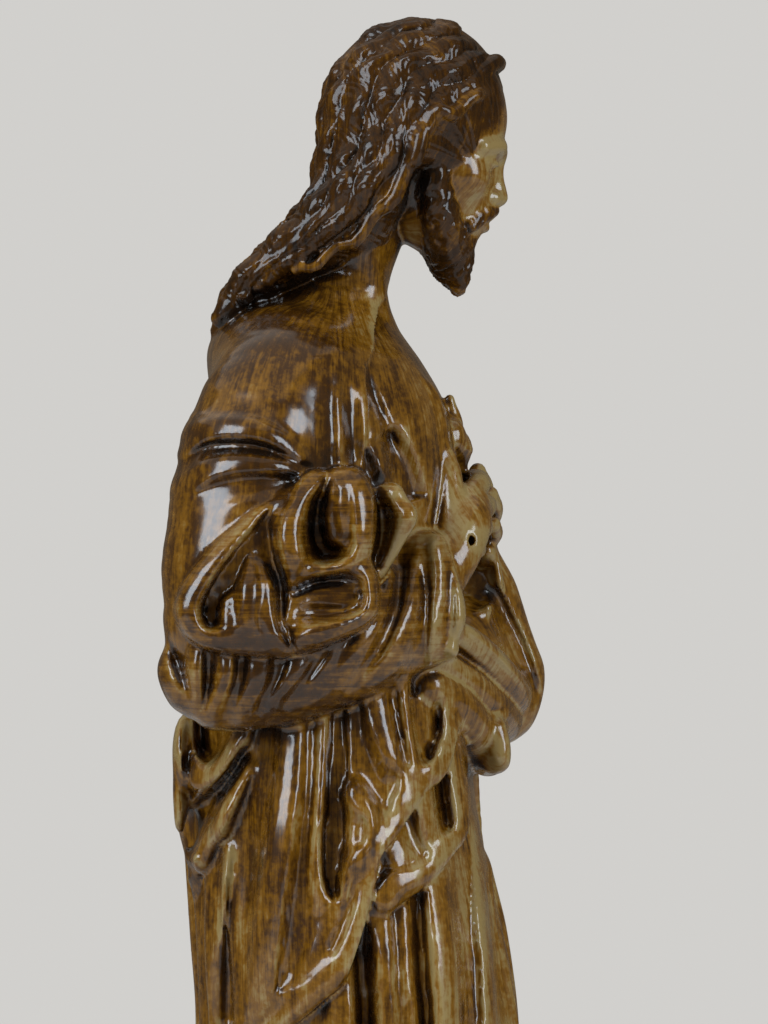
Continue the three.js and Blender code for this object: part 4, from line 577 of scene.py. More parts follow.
# The tunic's sleeve from the elbow to the cuff
rightSleeve = form("sleeve", 4, [
    tube(seen([[-66, 44, 404, 14], [-66, 34, 407, 20], [-63, 18, 410, 20.5], [-58, 0, 416, 20],
               [-50, -14, 421, 19], [-44, -24, 427, 17]]), soft=6),
    cushion([[-10, 446], [-20, 450], [-26, 452.5], [-32, 452.5], [-35, 450], [-37.5, 442], [-39.5, 434],
             [-41, 424], [-39, 417], [-39, 412], [-36, 410], [-30, 408.5], [-22, 407], [-12, 412]],
            depth=-41, half=14, round=11, lean=(0.5, 0), soft=3),
], [
    relief([
        [[-15, 449, 1], [-15.6, 438.3, 2], [-13, 426.7, 2.2], [-7, 415, 1.8], [0, 403.3, 1]],
        [[-25, 451, 0.6], [-25, 438, 1.6], [-23, 425, 2], [-17, 411, 1.6], [-10, 403.3, 1]],
        [[-32.6, 452, 1], [-33, 438.3, 1.8], [-32.8, 426.7, 1.8], [-31.6, 411, 1.2]],
        [[-38.6, 444, 1.4], [-40.6, 430, 1.8], [-40.4, 420, 1.8], [-37.6, 412, 1.2]],
        [[-4, 424, 2], [2, 412, 2], [9, 401, 1]],
        [[12, 414, 1], [15, 405, 2], [22, 396, 1]],
        [[27, 412, 2], [28, 402, 2], [31, 392, 1]],
        [[38.3, 413, 3], [38.3, 403.3, 3], [43.3, 391, 1]],
        [[47.5, 414, 3], [48.5, 406.7, 3], [47.5, 395, 1]],
        [[54.2, 440, 2], [58.7, 430, 2], [60, 421.7, 2], [59.2, 410, 2], [53.3, 398, 1]],
    ], [
        [[-11, 443, -2.4], [-9.6, 430, -1.6], [-3, 419, -1], [5, 405, -0.6], [12, 397, 0]],
        [[-20, 449, -2.4], [-20, 436, -1.6], [-17.6, 424, -1], [-11.6, 411.7, -0.8], [-4, 401, 0]],
        [[-27, 451, -0.6], [-28.2, 438, -1.4], [-28.4, 424, -1.4], [-27, 409, -1]],
        [[-36, 448, 0], [-36.8, 436, -0.6], [-36.6, 424, -0.6], [-35, 412, 0]],
        [[4, 412, -0.6], [9, 406, -1.2], [18, 396, -0.6]],
        [[20, 412, -0.6], [21, 404, -1], [27, 394, -0.6]],
        [[33, 413, -1], [34, 404, -1.5], [38, 393, -1]],
        [[43.5, 416, -2], [43.8, 403.3, -2.4], [45.3, 395, -1.4]],
        [[50.8, 438.3, -1], [54, 428.3, -2], [53.5, 418.3, -2.4], [53, 406.7, -2], [50.5, 399, -1]],
    ], mid=armMid, reach=7),
])

# The mantle bunched over the crook of the arm: one mass, hollowed where the cloth folds over itself
bunchDepth = -72
bunch = form("bunch", 1.5, [
    cushion([[23.3, 462], [13.3, 469.4], [5.8, 472], [-0.8, 472.6], [-5.8, 470.6], [-9, 464.6], [-9.8, 457.5],
             [-10, 447], [-10.4, 440], [-11, 431], [-10.6, 425.6], [-5, 421.2], [1.7, 417.8], [8.3, 414.8],
             [14, 412.2], [20, 411.4], [30, 412], [38.3, 413], [45, 415.4], [51, 419.6], [53.4, 425],
             [52.4, 430.4], [48.6, 437], [41.9, 445.4], [33.4, 453.8]],
            depth=bunchDepth, half=19, round=7, lean=(-0.12, 0.1)),
], [
    relief([
        # the rolled hem, round the elbow and under it
        [[19, 464.4, 1], [25, 460, 3], [31, 453.6, 4], [38.4, 446, 4.4], [45.4, 437.6, 4.4], [49.8, 430, 4],
         [49.6, 424, 3.4], [45.6, 418.8, 3], [40, 417, 2.4], [33, 415.6, 1.4], [27, 414.6, 1]],
        # the two tongues inside it
        [[30.2, 445.6, -1], [29.6, 440, 2.4], [29.8, 434, 4.8], [31, 427, 4.6], [31, 420, 3.4], [28, 416, 1.4]],
        [[37.4, 429, 0.6], [36.6, 423.6, 2]],
        [[26.6, 442.8, -1], [24.4, 437.6, 2.4], [23.4, 431, 3.2], [22.6, 424, 3.2], [20.8, 418, 2.4],
         [18.6, 414, 1]],
        # the full middle, and the lip round the upper hollow
        [[8, 469.6, 3], [12.6, 464, 4.6], [15.8, 457, 6.4], [16.6, 450, 7.4], [15.4, 443, 6.6],
         [15.4, 437, 2.4]],
        [[-1, 471.4, 2], [-4.4, 469.8, 4], [-6.6, 465, 5], [-7.4, 459, 5], [-6.8, 452, 5], [-5.2, 446.6, 4],
         [-1.6, 442.2, 3.6], [3, 440, 3], [7.4, 439.4, 2.6], [11, 438.6, 2.4]],
        [[-1, 467, 3], [-0.4, 461, 3], [-1.4, 454, 1.4], [-2.6, 449, -2]],
        [[2.6, 466, 1], [2.8, 459, 0], [1.6, 452, -2]],
        # the lip round the lower hollow and what lies in it
        [[-5.8, 439.8, 2], [-8.8, 436.8, 3], [-9.6, 432, 3], [-9.2, 427.8, 3], [-6, 424.6, 3.4],
         [-1, 422.2, 4], [5, 419.8, 4], [9.4, 417.8, 3.4], [13.4, 416, 2]],
        [[18, 423, -1], [13, 429.6, -2.4], [8, 431.4, -3.4], [0, 432, -3.6], [-6, 431.4, -4]],
    ], [
        [[22, 461.6, -1], [26.2, 456, -5], [27.4, 450.6, -7]],
        [[29.4, 451.4, -5], [32, 447, -9], [36.4, 440.4, -12], [40.8, 432.6, -13], [43.2, 427, -12],
         [43.2, 422.8, -8]],
        [[27.4, 448.6, -6], [24, 441.6, -7], [20.8, 436, -8], [20.2, 430, -8], [19.6, 424, -6],
         [17.6, 418, -3.6], [16, 414.6, -2]],
        [[6.6, 463, -7], [7.4, 456.6, -10], [6.8, 450, -11], [5.6, 445.6, -10]],
        [[4, 446, -10], [1, 445.4, -9], [-2, 446, -5]],
        [[5, 468, -2], [5, 464, -5]],
        [[17, 427, -3], [11, 426.4, -4.6], [5, 425.4, -5.4], [-1, 425.6, -5.6], [-6, 427.6, -5]],
        [[14, 433, -6], [8.4, 436, -8], [3.4, 437, -8], [-2, 436.6, -5], [-6.4, 436, -4]],
    ], mid=armMid, reach=7, rise=1.2),
])

# The curled corner of cloth between the bunch and the cuff
curl = form("curl", 1.5, [
    cushion([[-6, 462], [-10, 464.5], [-15, 467], [-18.5, 467], [-20.5, 463], [-24, 458], [-20, 451],
             [-16.5, 444], [-12.5, 437], [-8, 440], [-4, 450]], depth=-64, half=7, round=4, lean=(0.5, 0)),
], [
    relief([
        [[-10, 463.2, 1], [-15, 465.6, 2], [-18, 465.4, 2], [-20, 462, 2], [-22.4, 458, 2], [-20, 451.7, 2],
         [-16, 444.2, 1.6], [-12.2, 438, 1]],
        [[-8.6, 460, 1], [-9.4, 452, 1], [-9, 444, 1]],
    ], [
        [[-12.4, 462.4, -2], [-14.6, 457, -4], [-14.4, 450, -3.6], [-12.2, 442, -2]],
    ], mid=armMid, reach=6),
])

# Right hand: palm, thumb and fingers, with the back of the hand outwards
rightHand = form("hand", 2, [
    tube(seen([[-40, -32, 436, 9], [-36, -39, 446, 8], [-30, -42, 455, 8.4], [-22, -43, 461, 7.4]]), soft=4),
    tube(seen([[-34, -36, 450, 5], [-31, -37, 462, 4.6], [-28, -36.5, 471, 4.2], [-26, -35.5, 477, 3.4]]),
         soft=4),
    tube(seen([[-26, -42, 464, 4.4], [-16, -46, 468, 4], [-6, -46, 470, 3.6], [3, -44, 470, 3]]), soft=1.2),
    tube(seen([[-24, -45, 459, 4.4], [-13, -48, 461, 4.1], [-2, -48, 462, 3.7], [7, -46, 461, 3]]), soft=1.2),
    tube(seen([[-24, -44, 453, 4.2], [-14, -47, 454, 4], [-3, -47, 455, 3.6], [5, -45, 454, 3]]), soft=1.2),
    tube(seen([[-26, -42, 448, 4], [-17, -45, 447, 3.6], [-8, -45, 447, 3.2], [-2, -43, 447, 2.7]]), soft=1.2),
    blob([-40, -43, 450], [5, 1, 1.7], cut=True, soft=0.5),
])


# Left arm: shoulder, sleeve across the front and hand
def left(line, rise, reach, **options):
    return fold("left", line, rise, reach, mid=50, **options)


leftShoulder = form("shoulder", 16, [
    tube([[34, 14, 503, 20], [50, 20, 488, 25], [60, 25, 464, 25.5], [66, 28, 442, 24.5], [67, 30, 422, 21]],
         soft=6),
], [
    left([[46, 480], [30, 488], [12, 478], [4, 464]], 2.4, [4, 4]),
    left([[50, 462], [34, 470], [16, 462], [6, 448]], 2.6, [4, 5]),
    left([[52, 444], [36, 450], [20, 442]], 2.6, [4, 5]),
])
leftSleeve = form("sleeve", 5, [
    tube([[67, 32, 410, 19], [62, 8, 412, 21], [54, -14, 418, 19], [42, -32, 428, 17], [32, -40, 437, 14]],
         soft=6),
], [
    left([[48, 424], [40, 408], [24, 396]], 2.6, [6, 6]),
    left([[46, 436], [26, 424], [8, 404]], 3, [7, 6]),
    left([[36, 440], [10, 432], [-8, 410]], 3, [7, 6]),
])
leftHand = form("hand", 2, [
    tube([[34, -40, 436, 8.4], [27, -44, 446, 8], [20, -45, 455, 7.4]], soft=4),
    tube([[26, -42, 452, 4.6], [20, -41, 463, 4.2], [16, -41, 471, 3.4]], soft=3),
    tube([[20, -47, 460, 4], [12, -48, 467, 3.6], [5, -46, 473, 2.8]], soft=1.2),
    tube([[19, -49, 455, 4], [10, -51, 460, 3.7], [2, -50, 465, 3]], soft=1.2),
    tube([[19, -48, 449, 3.9], [9, -51, 452, 3.5], [1, -51, 455, 2.8]], soft=1.2),
    tube([[20, -46, 444, 3.6], [12, -49, 444, 3.2], [5, -49, 446, 2.6]], soft=1.2),
])

# The left sleeve's opening and the cloth that hangs from it, the foremost edge seen from the right
leftDrop = form("cloth", 2, [
    cushion([[-42, 452], [-48, 455.5], [-53, 446], [-58, 437], [-60.5, 430], [-63, 422], [-65.5, 415],
             [-68, 408], [-68, 400], [-65.5, 391], [-61, 385], [-52, 382], [-42, 396], [-36, 420], [-36, 440]],
            depth=30, half=15, round=9, lean=(-0.3, 0), soft=5),
    cushion([[-40, 455], [-46, 455], [-50, 451], [-53, 444], [-54.5, 435], [-53, 429], [-50, 425.5],
             [-44, 421.5], [-38, 420], [-34, 436]], depth=12, half=6, round=2, soft=2),
    cushion([[-34, 452], [-45, 452.5], [-49, 448], [-51, 442], [-51.5, 435], [-50, 429.5], [-44, 425],
             [-34, 423]],
            depth=4, half=11, round=3, cut=True, soft=1.5),
], [
    right([[-50, 436], [-56, 424], [-60.6, 414], [-64, 404], [-65.6, 396]], -4.4, [4.4, 2.6], mid=28, fade=0.2),
    right([[-48, 426], [-53, 413], [-58, 400], [-60, 390]], 2, [4, 4], mid=28),
])

# The mantle's swags from the right hip across the front to the left forearm
swags = [
    [[-40, -37, 420, 4], [-25, -47, 412, 5.4], [-8, -54, 403, 6.4], [8, -57, 398, 7], [24, -55, 402, 8],
     [40, -44, 414, 8]],
    [[-42, -32, 410, 5], [-26, -43, 401, 6.4], [-6, -51, 393, 7.4], [12, -53, 390, 8], [28, -50, 398, 8],
     [44, -40, 410, 8]],
    [[-44, -30, 401, 6], [-34, -39, 395, 6.4], [-20, -45, 386, 7], [-4, -49, 379, 7], [10, -49, 379, 7],
     [28, -46, 390, 8], [46, -36, 402, 8]],
]
frontCloth = form("cloth", 2.5, [
    *[tube(seen(rows), soft=1.4) for rows in swags],
    cushion([[-38, 386], [-44, 388.6], [-50, 390.6], [-54, 391], [-56, 386], [-57, 380], [-56.4, 374.6],
             [-53, 372], [-49, 372.6], [-45, 375], [-41, 380]], depth=-8, half=15, round=9, lean=(0.8, 0),
             soft=1.5),
    tube(seen([[-40, -30, 402, 2], [-40, -34, 394, 2.2], [-38, -37.4, 388.4, 2.2], [-32, -42, 387.8, 2],
               [-24, -48, 389.6, 2.2], [-14, -54, 391.8, 2.4]]), soft=0.8),
    blob([20, -38, 408], [26, 18, 24], soft=6),
], [
    right([[-40, 424], [-48, 416], [-58, 406], [-64, 398]], 1, [2, 3]),
])

# The mantle where it is gathered behind the neck, under the hair
collar = form("shoulder", 12, [
    tube([[-44, 14, 500, 16], [-22, 24, 509, 15.6], [0, 27, 511, 15.6], [22, 24, 509, 15.6],
          [44, 14, 500, 16]], soft=6),
])

neck = form("neck", 5, [
    tube([[0, 8, 520, 17], [0, 0, 532, 14.5], [0, -5, 545, 13.5], [0, -10, 560, 14]], soft=4),
    *[tube([[6 * s, -12, 522, 4], [11 * s, -8, 540, 4.2], [16 * s, -5, 556, 4.4]], soft=7) for s in (-1, 1)],
])

# The head is modelled upright about its own middle, then tipped forward
headSet = np.array(Matrix.Rotation(figure["headTilt"], 3, "X") @ Matrix.Rotation(figure["headTurn"], 3, "Z"))


def inHead(row):
    return [*(headSet @ np.array(row[:3]) + figure["headCentre"]), *row[3:]]


def headTube(rows, **options):
    return tube([inHead(row) for row in rows], **options)


def headBlob(centre, radii, **options):
    return blob(inHead(centre), radii, tilt=figure["headTilt"], turn=figure["headTurn"], **options)


face = {"brow": 6, "eye": 0, "nose": -11, "mouth": -18, "chin": -31, "eyeSpacing": 10.4}
head = form("skin", 2, [
    headBlob([0, 4, 10], [25.5, 31, 27]),
    headBlob([0, -8, -10], [19.5, 20, 23], soft=8),
    headBlob([0, -17, face["chin"] + 5], [9, 8, 7], soft=8),
    *[headBlob([13.5 * s, -18, -6], [6.5, 6.5, 6], soft=6) for s in both],
    *[headBlob([face["eyeSpacing"] * s, -30.5, face["eye"]], [6, 5.4, 4.2], cut=True, soft=3) for s in both],
    *[headBlob([face["eyeSpacing"] * s, -21.6, face["eye"]], [5, 4.6, 3.9], soft=1) for s in both],
    *[headTube([[15.6 * s, -22.4, face["eye"] + 0.2, 0.8],
                [face["eyeSpacing"] * s, -26.4, face["eye"] + 0.4, 1],
                [5.6 * s, -24.6, face["eye"] - 0.6, 0.8]], soft=0.6) for s in both],
    *[headTube([[17 * s, -20.5, face["brow"] - 1.6, 1.8], [10 * s, -25.8, face["brow"] + 0.6, 2],
                [2 * s, -26.4, face["brow"] - 1, 2.2]], soft=4) for s in both],
    headTube([[0, -25.4, face["brow"] - 1, 2.6], [0, -28, face["brow"] - 9, 2.8],
              [0, -31, face["nose"] + 2, 3.1]], soft=3),
    *[headBlob([3.4 * s, -28.6, face["nose"] + 1.2], [2.5, 3.4, 2.3], soft=1.6) for s in both],
    headBlob([0, -23.5, face["mouth"]], [9, 6, 7], soft=6),
    headTube([[-6, -28, face["mouth"] + 0.8, 1], [0, -29.8, face["mouth"] + 1.8, 1.6],
              [6, -28, face["mouth"] + 0.8, 1]], soft=1),
    headTube([[-5.5, -27.6, face["mouth"] - 1.4, 1], [0, -29.4, face["mouth"] - 2, 1.8],
              [5.5, -27.6, face["mouth"] - 1.4, 1]], soft=1),
])

beardCurls = {
    "middle": -28,               # the curls lie round an upright line at this depth
    "perDegree": 0.35,
    "width": 3.4,
    "height": 0.6,
    "pace": 0.9,                 # how fast a curl swings from side to side on its way down
    "swing": 0.7,
    "strandWidth": 1.1,
    "strandHeight": 0.2,
}


# Short curls of the beard
def curls(looks, count):
    x, y, z = looks["place"].T
    around = np.degrees(np.arctan2(np.abs(x), beardCurls["middle"] - y)) * beardCurls["perDegree"]
    row = around + 1.1 * np.sin(z * 0.75 + around * 0.5)
    lock = np.round(row / beardCurls["width"])
    off = row - lock * beardCurls["width"]
    turn = z * beardCurls["pace"] + lock * 2.1
    strand = off + beardCurls["swing"] * np.sin(turn)
    full = (1 - (off / 1.8) ** 2) * (1 + 0.5 * np.sin(turn + 1))
    fine = np.abs(np.cos(np.pi * strand / beardCurls["strandWidth"]))
    return beardCurls["height"] * (full - 0.7) + beardCurls["strandHeight"] * (fine - 0.5)


beard = form("hair", 2, [
    *[headTube([[20.5 * s, -5, 0, 3.2], [19.5 * s, -8, -12, 5], [15 * s, -14, -23, 6.4],
                [7 * s, -19, -30, 7.4]], soft=4) for s in both],
    headTube([[0, -19, -27, 9], [0, -22, -34, 7.5], [0, -24, -38, 5]], soft=5),
    *[headTube([[4 * s, -23, -33, 4.6], [4.6 * s, -25.4, -38, 3.8], [3.6 * s, -27, -42, 2.4]],
               soft=2.4) for s in both],
    *[headTube([[1.4 * s, -30.6, face["mouth"] + 4, 1.5], [6.4 * s, -28.6, face["mouth"] + 2.6, 2],
                [10.5 * s, -24, face["mouth"] - 3.6, 2.2]], soft=1.4) for s in both],
], [curls])

# Hair: the mass first, then waved locks laid over it
hair = {
    "lockWidth": 7.6,
    "lockHeight": 1.9,
    "strandWidth": 1.9,
    "strandHeight": 0.42,
    "waveLength": 17,
    "waveWidth": 2.6,
    "swell": 0.4,                # how much a lock rises and sinks along its length
    "pace": 2.4,                 # how far each lock's waves lie ahead of the next one's
    "leftPace": 1.7,
    "drift": 0.8,
    "apart": 0.35,               # how far the locks of one half are moved against the other's
    "parting": (1, 7),           # how far from the middle they start, in front of the crown
    "steep": (2.4, 4),           # they lie flat where the combing turns more sharply than this
    "spacing": 6.5,              # how far apart the combing lines lie
    "crown": (-25, 592),
    "flowGrid": 2.5,
}
# The long masses of one side: outer and inner
hairMasses = [
    [[25.5, -27, 588, 8.5], [26, -16, 575, 9], [25, -6, 564, 9.4], [23, 4, 555, 9], [22, 14, 547, 7.6],
     [22, 24, 539.6, 6], [21, 33, 531, 4.6], [20, 38, 523, 3.4]],
    [[8, -14, 590, 19], [9, -9, 575, 17], [10, -5, 561, 16], [10, 3, 553, 13], [9, 14, 544.6, 10],
     [9, 25, 536.6, 7.6], [8, 33, 528, 6.4], [7, 37, 520, 5]],
]
hairShapes = [
    blob([0, -25, 592.5], [30.5, 30, 31.5], tilt=figure["headTilt"]),
    headBlob([0, -36, -8], [17.5, 20, 34], cut=True, soft=4),
    *[tube(onSide(s, rows), soft=6) for rows in hairMasses for s in both],
]
hairMass = form("hair", 3, hairShapes)
# How the hair is combed at the side, from the parting down to the shoulder: rows [y, z] in the side view
sideLocks = [
    [[-50, 604], [-46, 601.5], [-42, 598], [-34, 592], [-28, 585], [-24, 575], [-17, 564], [-8, 553], [2, 545],
     [12, 539], [20, 534]],
    [[-49, 609], [-43, 606], [-36, 603], [-27, 598], [-22, 589], [-18, 578], [-12, 567], [-3, 556], [7, 547],
     [17, 541], [27, 533]],
    [[-45, 614], [-38, 611], [-29, 608], [-20, 602], [-15, 592], [-12, 581], [-6, 570], [2, 559], [11, 549],
     [22, 541], [33, 529]],
    [[-39, 618.5], [-31, 615], [-22, 612], [-13, 605], [-8, 595], [-6, 583], [0, 572], [6, 561], [14, 550],
     [26, 541], [37, 526]],
    [[-32, 621], [-24, 618], [-15, 613], [-7, 606], [-3, 596], [-2, 585], [3, 574], [8, 563], [15, 552],
     [28, 541], [39, 521]],
]
# and down the back from the crown: how far from the middle, and the heights of the line
backLocks = [13, 6.5, 0]
backHeights = np.linspace(598, 517, 18)


# How far out along a direction the hair's surface is met, coming in from outside
def reachOut(starts, way, most):
    steps = np.arange(most, 0, -0.25)
    made = []
    for start in starts:
        line = (np.array(start) + np.outer(steps, way)).astype(np.float32)
        inside = hairMass["at"](line) < 0
        made.append(steps[np.argmax(inside)] if inside.any() else 0)
    return np.array(made)


# The combing lines on one half of the head, and how far round from the middle of the back each lies
def combLines():
    made = []
    for i, line in enumerate(sideLocks):
        path = smoothLine(line, 2, even=True)
        out = reachOut([(0, y, z) for y, z in path], (1, 0, 0), 50)
        aside = backLocks[0] + hair["spacing"] * (len(sideLocks) - i)
        made.append((aside, np.column_stack([np.maximum(out, 1.5), path]).astype(np.float32)))
    for x in backLocks:
        crown = np.array([x, *hair["crown"]])
        path = []
        for degrees in (85, 65, 45, 25):
            way = np.array([0, math.cos(math.radians(degrees)), math.sin(math.radians(degrees))])
            path.append(crown + way * reachOut([crown], way, 50)[0])
        out = reachOut([(x, 0, z) for z in backHeights], (0, 1, 0), 60)
        down = np.column_stack([np.full(len(out), x), out, backHeights])
        made.append((x, np.vstack([path, down]).astype(np.float32)))
    return made


# For any place near the hair: how far round the head it lies, how far down its lock, and how even the combing
def combing():
    step = hair["flowGrid"]
    low, high = np.array([0, -72, 505]), np.array([50, 62, 632])
    axes = [np.arange(low[n], high[n] + step, step) for n in range(3)]
    grid = np.stack(np.meshgrid(*axes, indexing="ij"), -1)
    p = grid.reshape(-1, 3).astype(np.float32)
    lines = combLines()
    away = np.full((len(lines), len(p)), 1e3, np.float32)
    down = np.zeros_like(away)
    for n, (_, line) in enumerate(lines):
        run = 0
        for start, end in zip(line[:-1], line[1:]):
            edge = end - start
            length = float(np.linalg.norm(edge)) + 1e-6
            t = np.clip((p - start) @ edge / length ** 2, 0, 1)
            gap = np.linalg.norm(p - start - t[:, None] * edge, axis=1)
            closer = gap < away[n]
            away[n] = np.where(closer, gap, away[n])
            down[n] = np.where(closer, run + t * length, down[n])
            run += length
    order = np.argsort(away, 0)[:2]
    pick = np.arange(len(p))
    first, second = away[order[0], pick], away[order[1], pick]
    share = first / (first + second + 1e-6)
    rounds = np.array([line[0] for line in lines])
    u = rounds[order[0]] * (1 - share) + rounds[order[1]] * share
    v = down[order[0], pick] * (1 - share) + down[order[1], pick] * share
    steep = sum(np.abs(np.gradient(u.reshape(grid.shape[:3]), step, axis=n)) for n in range(3))
    calm = 1 - smoothstep(steep, *hair["steep"])
    return low, np.stack([u, v, calm.ravel()], -1).reshape(*grid.shape[:3], 3).astype(np.float32)


flowLow, flow = combing()


def combedAt(p):
    at = (np.stack([np.abs(p[:, 0]), p[:, 1], p[:, 2]], 1) - flowLow) / hair["flowGrid"]
    at = np.clip(at, 0, np.array(flow.shape[:3]) - 1.001)
    cell = at.astype(int)
    share = at - cell
    made = 0
    for i, j, k in corners:
        weight = np.prod(np.where((i, j, k), share, 1 - share), axis=1)
        made = made + weight[:, None] * flow[cell[:, 0] + i, cell[:, 1] + j, cell[:, 2] + k]
    return made[:, 0], made[:, 1], made[:, 2]


# Locks lie side by side, each waving at its own pace, with finer strands along it
def waves(looks, count):
    p = looks["place"]
    u, v, calm = combedAt(p)
    turn = 2 * np.pi * v / hair["waveLength"]
    across = u + hair["drift"] * np.sin(turn * 0.8 + u * 0.16) + hair["apart"] * np.sign(p[:, 0])
    lock = np.round(across / hair["lockWidth"])
    off = across - lock * hair["lockWidth"]
    phase = lock * hair["pace"] + np.where(p[:, 0] < 0, 0, hair["leftPace"])
    full = 1 - (off / (hair["lockWidth"] * 0.52)) ** 2
    lifted = 1 + hair["swell"] * np.sin(turn + phase + 1)
    strand = off + hair["waveWidth"] * np.sin(turn + phase)
    fine = np.abs(np.cos(np.pi * strand / hair["strandWidth"]))
    height = hair["lockHeight"] * (full * lifted - 0.6) + hair["strandHeight"] * (fine - 0.5)
    start = smoothstep(np.abs(p[:, 0]), *hair["parting"])
    start = np.where((p[:, 2] > 600) & (p[:, 1] < 0), start, 1)
    return height * start * calm


hairMass = form("hair", 1.2, hairShapes, [waves])


# The rolled lock that frames the face, and the wave that turns up over the brow
frameLock = {
    "line": [[-52, 600], [-47, 598], [-42, 593], [-35, 589.6], [-29.5, 587], [-26.6, 580], [-23.6, 573],
             [-18.4, 563.6], [-10.4, 554], [-2, 547], [7, 541.6], [14, 537]],
    "sunk": 0.9,
    "thin": 1.4,
    "fuller": 1.2,               # half way down, on top of that
    "waveHeight": 1.6,
    "wavePace": 1.4,
    "brow": [[2.5, -53, 608.6, 2.4], [8, -51.6, 608.4, 2.8], [14, -48, 605.6, 2.8], [19, -43.6, 601.6, 2.2],
             [22, -39, 597.6, 1.4]],
}


def frameLocks():
    made = []
    path = smoothLine(frameLock["line"], 3, even=True)
    shares = np.linspace(0, 1, len(path))
    for s in both:
        out = reachOut([(0, y + 2.5, z + 2) for y, z in path], (s, 0, 0), 50)
        out[:4] = np.linspace(5, out[4], 5)[:4]
        rows = []
        for k, (y, z) in enumerate(path):
            wave = frameLock["waveHeight"] * math.sin(frameLock["wavePace"] * k) * min(k / 8, 1)
            radius = frameLock["thin"] + frameLock["fuller"] * math.sin(math.pi * shares[k])
            rows.append([s * (out[k] - frameLock["sunk"]), y, z + wave, radius])
        made.append(tube(rows, soft=1.2, steps=1))
        made.append(tube(onSide(s, frameLock["brow"]), soft=1.6))
    return made


locks = form("hair", 1.2, frameLocks())

# Heart on the breast, with a band round it and a flame above
heart = form("heart", 1.5, [
    *[blob([4.6 * s, -38, 484], [5.6, 4, 6], soft=2) for s in both],
    tube([[0, -39, 481, 5], [0, -40, 474, 2.6]], soft=3),
    tube([[-8.6, -38.5, 482, 1.4], [0, -43, 480, 1.5], [8.6, -38.5, 482, 1.4]], soft=0.6),
    tube([[0, -38, 489, 3], [0, -36.6, 497, 1.6]], soft=2),
])

feet = [form("skin", 2, [
    tube([[19 * s, -50, 40, 12], [21 * s, -66, 36, 9.5], [22 * s, -78, 33, 7]], soft=4),
    *[tube([[(14 + 3.9 * toe) * s, -76 + toe * 0.9, 32, 3.6 - 0.3 * toe],
            [(14 + 3.9 * toe) * s, -83 + toe * 1.7, 30.6, 3 - 0.25 * toe]], soft=1) for toe in range(5)],
]) for s in both]

forms = [rightShoulder, leftShoulder, collar, rightSleeve, leftSleeve, leftDrop, frontCloth, bunch, curl,
         rightHand, leftHand, neck, head, beard, hairMass, locks, heart, *feet]
bodyLow, bodyHigh = np.array([-90, -90, figure["bodyFoot"]]), np.array([90, 75, figure["bodyTop"]])
batch = 150000               # how many places are measured at once
wellInside = -14             # nothing is added where the clay is already this deep


# Signed distance to the whole figure, and which form is nearest
def figureAt(p, wantForm=False):
    made = np.full(len(p), farAway, np.float32)
    nearest = np.zeros(len(p), np.int8)
    for start in range(0, len(p), batch):
        q = np.asarray(p[start:start + batch], np.float32)
        d = np.full(len(q), farAway, np.float32)
        which = np.zeros(len(q), np.int8)
        near = inBox(q, bodyLow, bodyHigh, nearBox)
        if len(near):
            d[near] = bodyAt(q[near])
        for i, f in enumerate(forms):
            near = inBox(q, f["low"], f["high"], nearBox + f["soft"])
            near = near[d[near] > wellInside]
            if not len(near):
                continue
            own = f["at"](q[near])
            which[near] = np.where(own < d[near], i + 1, which[near])
            d[near] = softUnion(d[near], own, f["soft"])
        made[start:start + batch] = np.maximum(d, figure["bodyFoot"] - q[:, 2])
        nearest[start:start + batch] = which
    return (made, nearest) if wantForm else made


report("forms ready")

# Edges of one grid cell, and the corner patterns that would hold more than one sheet of skin
edges = [(a, a | bit) for a in range(8) for bit in (1, 2, 4) if not a & bit]


def patches(mask):
    group = list(range(8))
    for _ in corners:
        for a, b in edges:
            if mask >> a & mask >> b & 1:
                group[a] = group[b] = min(group[a], group[b])
    return len({group[c] for c in range(8) if mask >> c & 1})


tangled = np.array([patches(mask) > 1 or patches(255 - mask) > 1 for mask in range(256)])


def cellMasks(inside):
    nx, ny, nz = (n - 1 for n in inside.shape)
    masks = np.zeros((nx, ny, nz), np.uint8)
    for c, (i, j, k) in enumerate(corners):
        masks |= inside[i:i + nx, j:j + ny, k:k + nz].astype(np.uint8) << c
    return masks


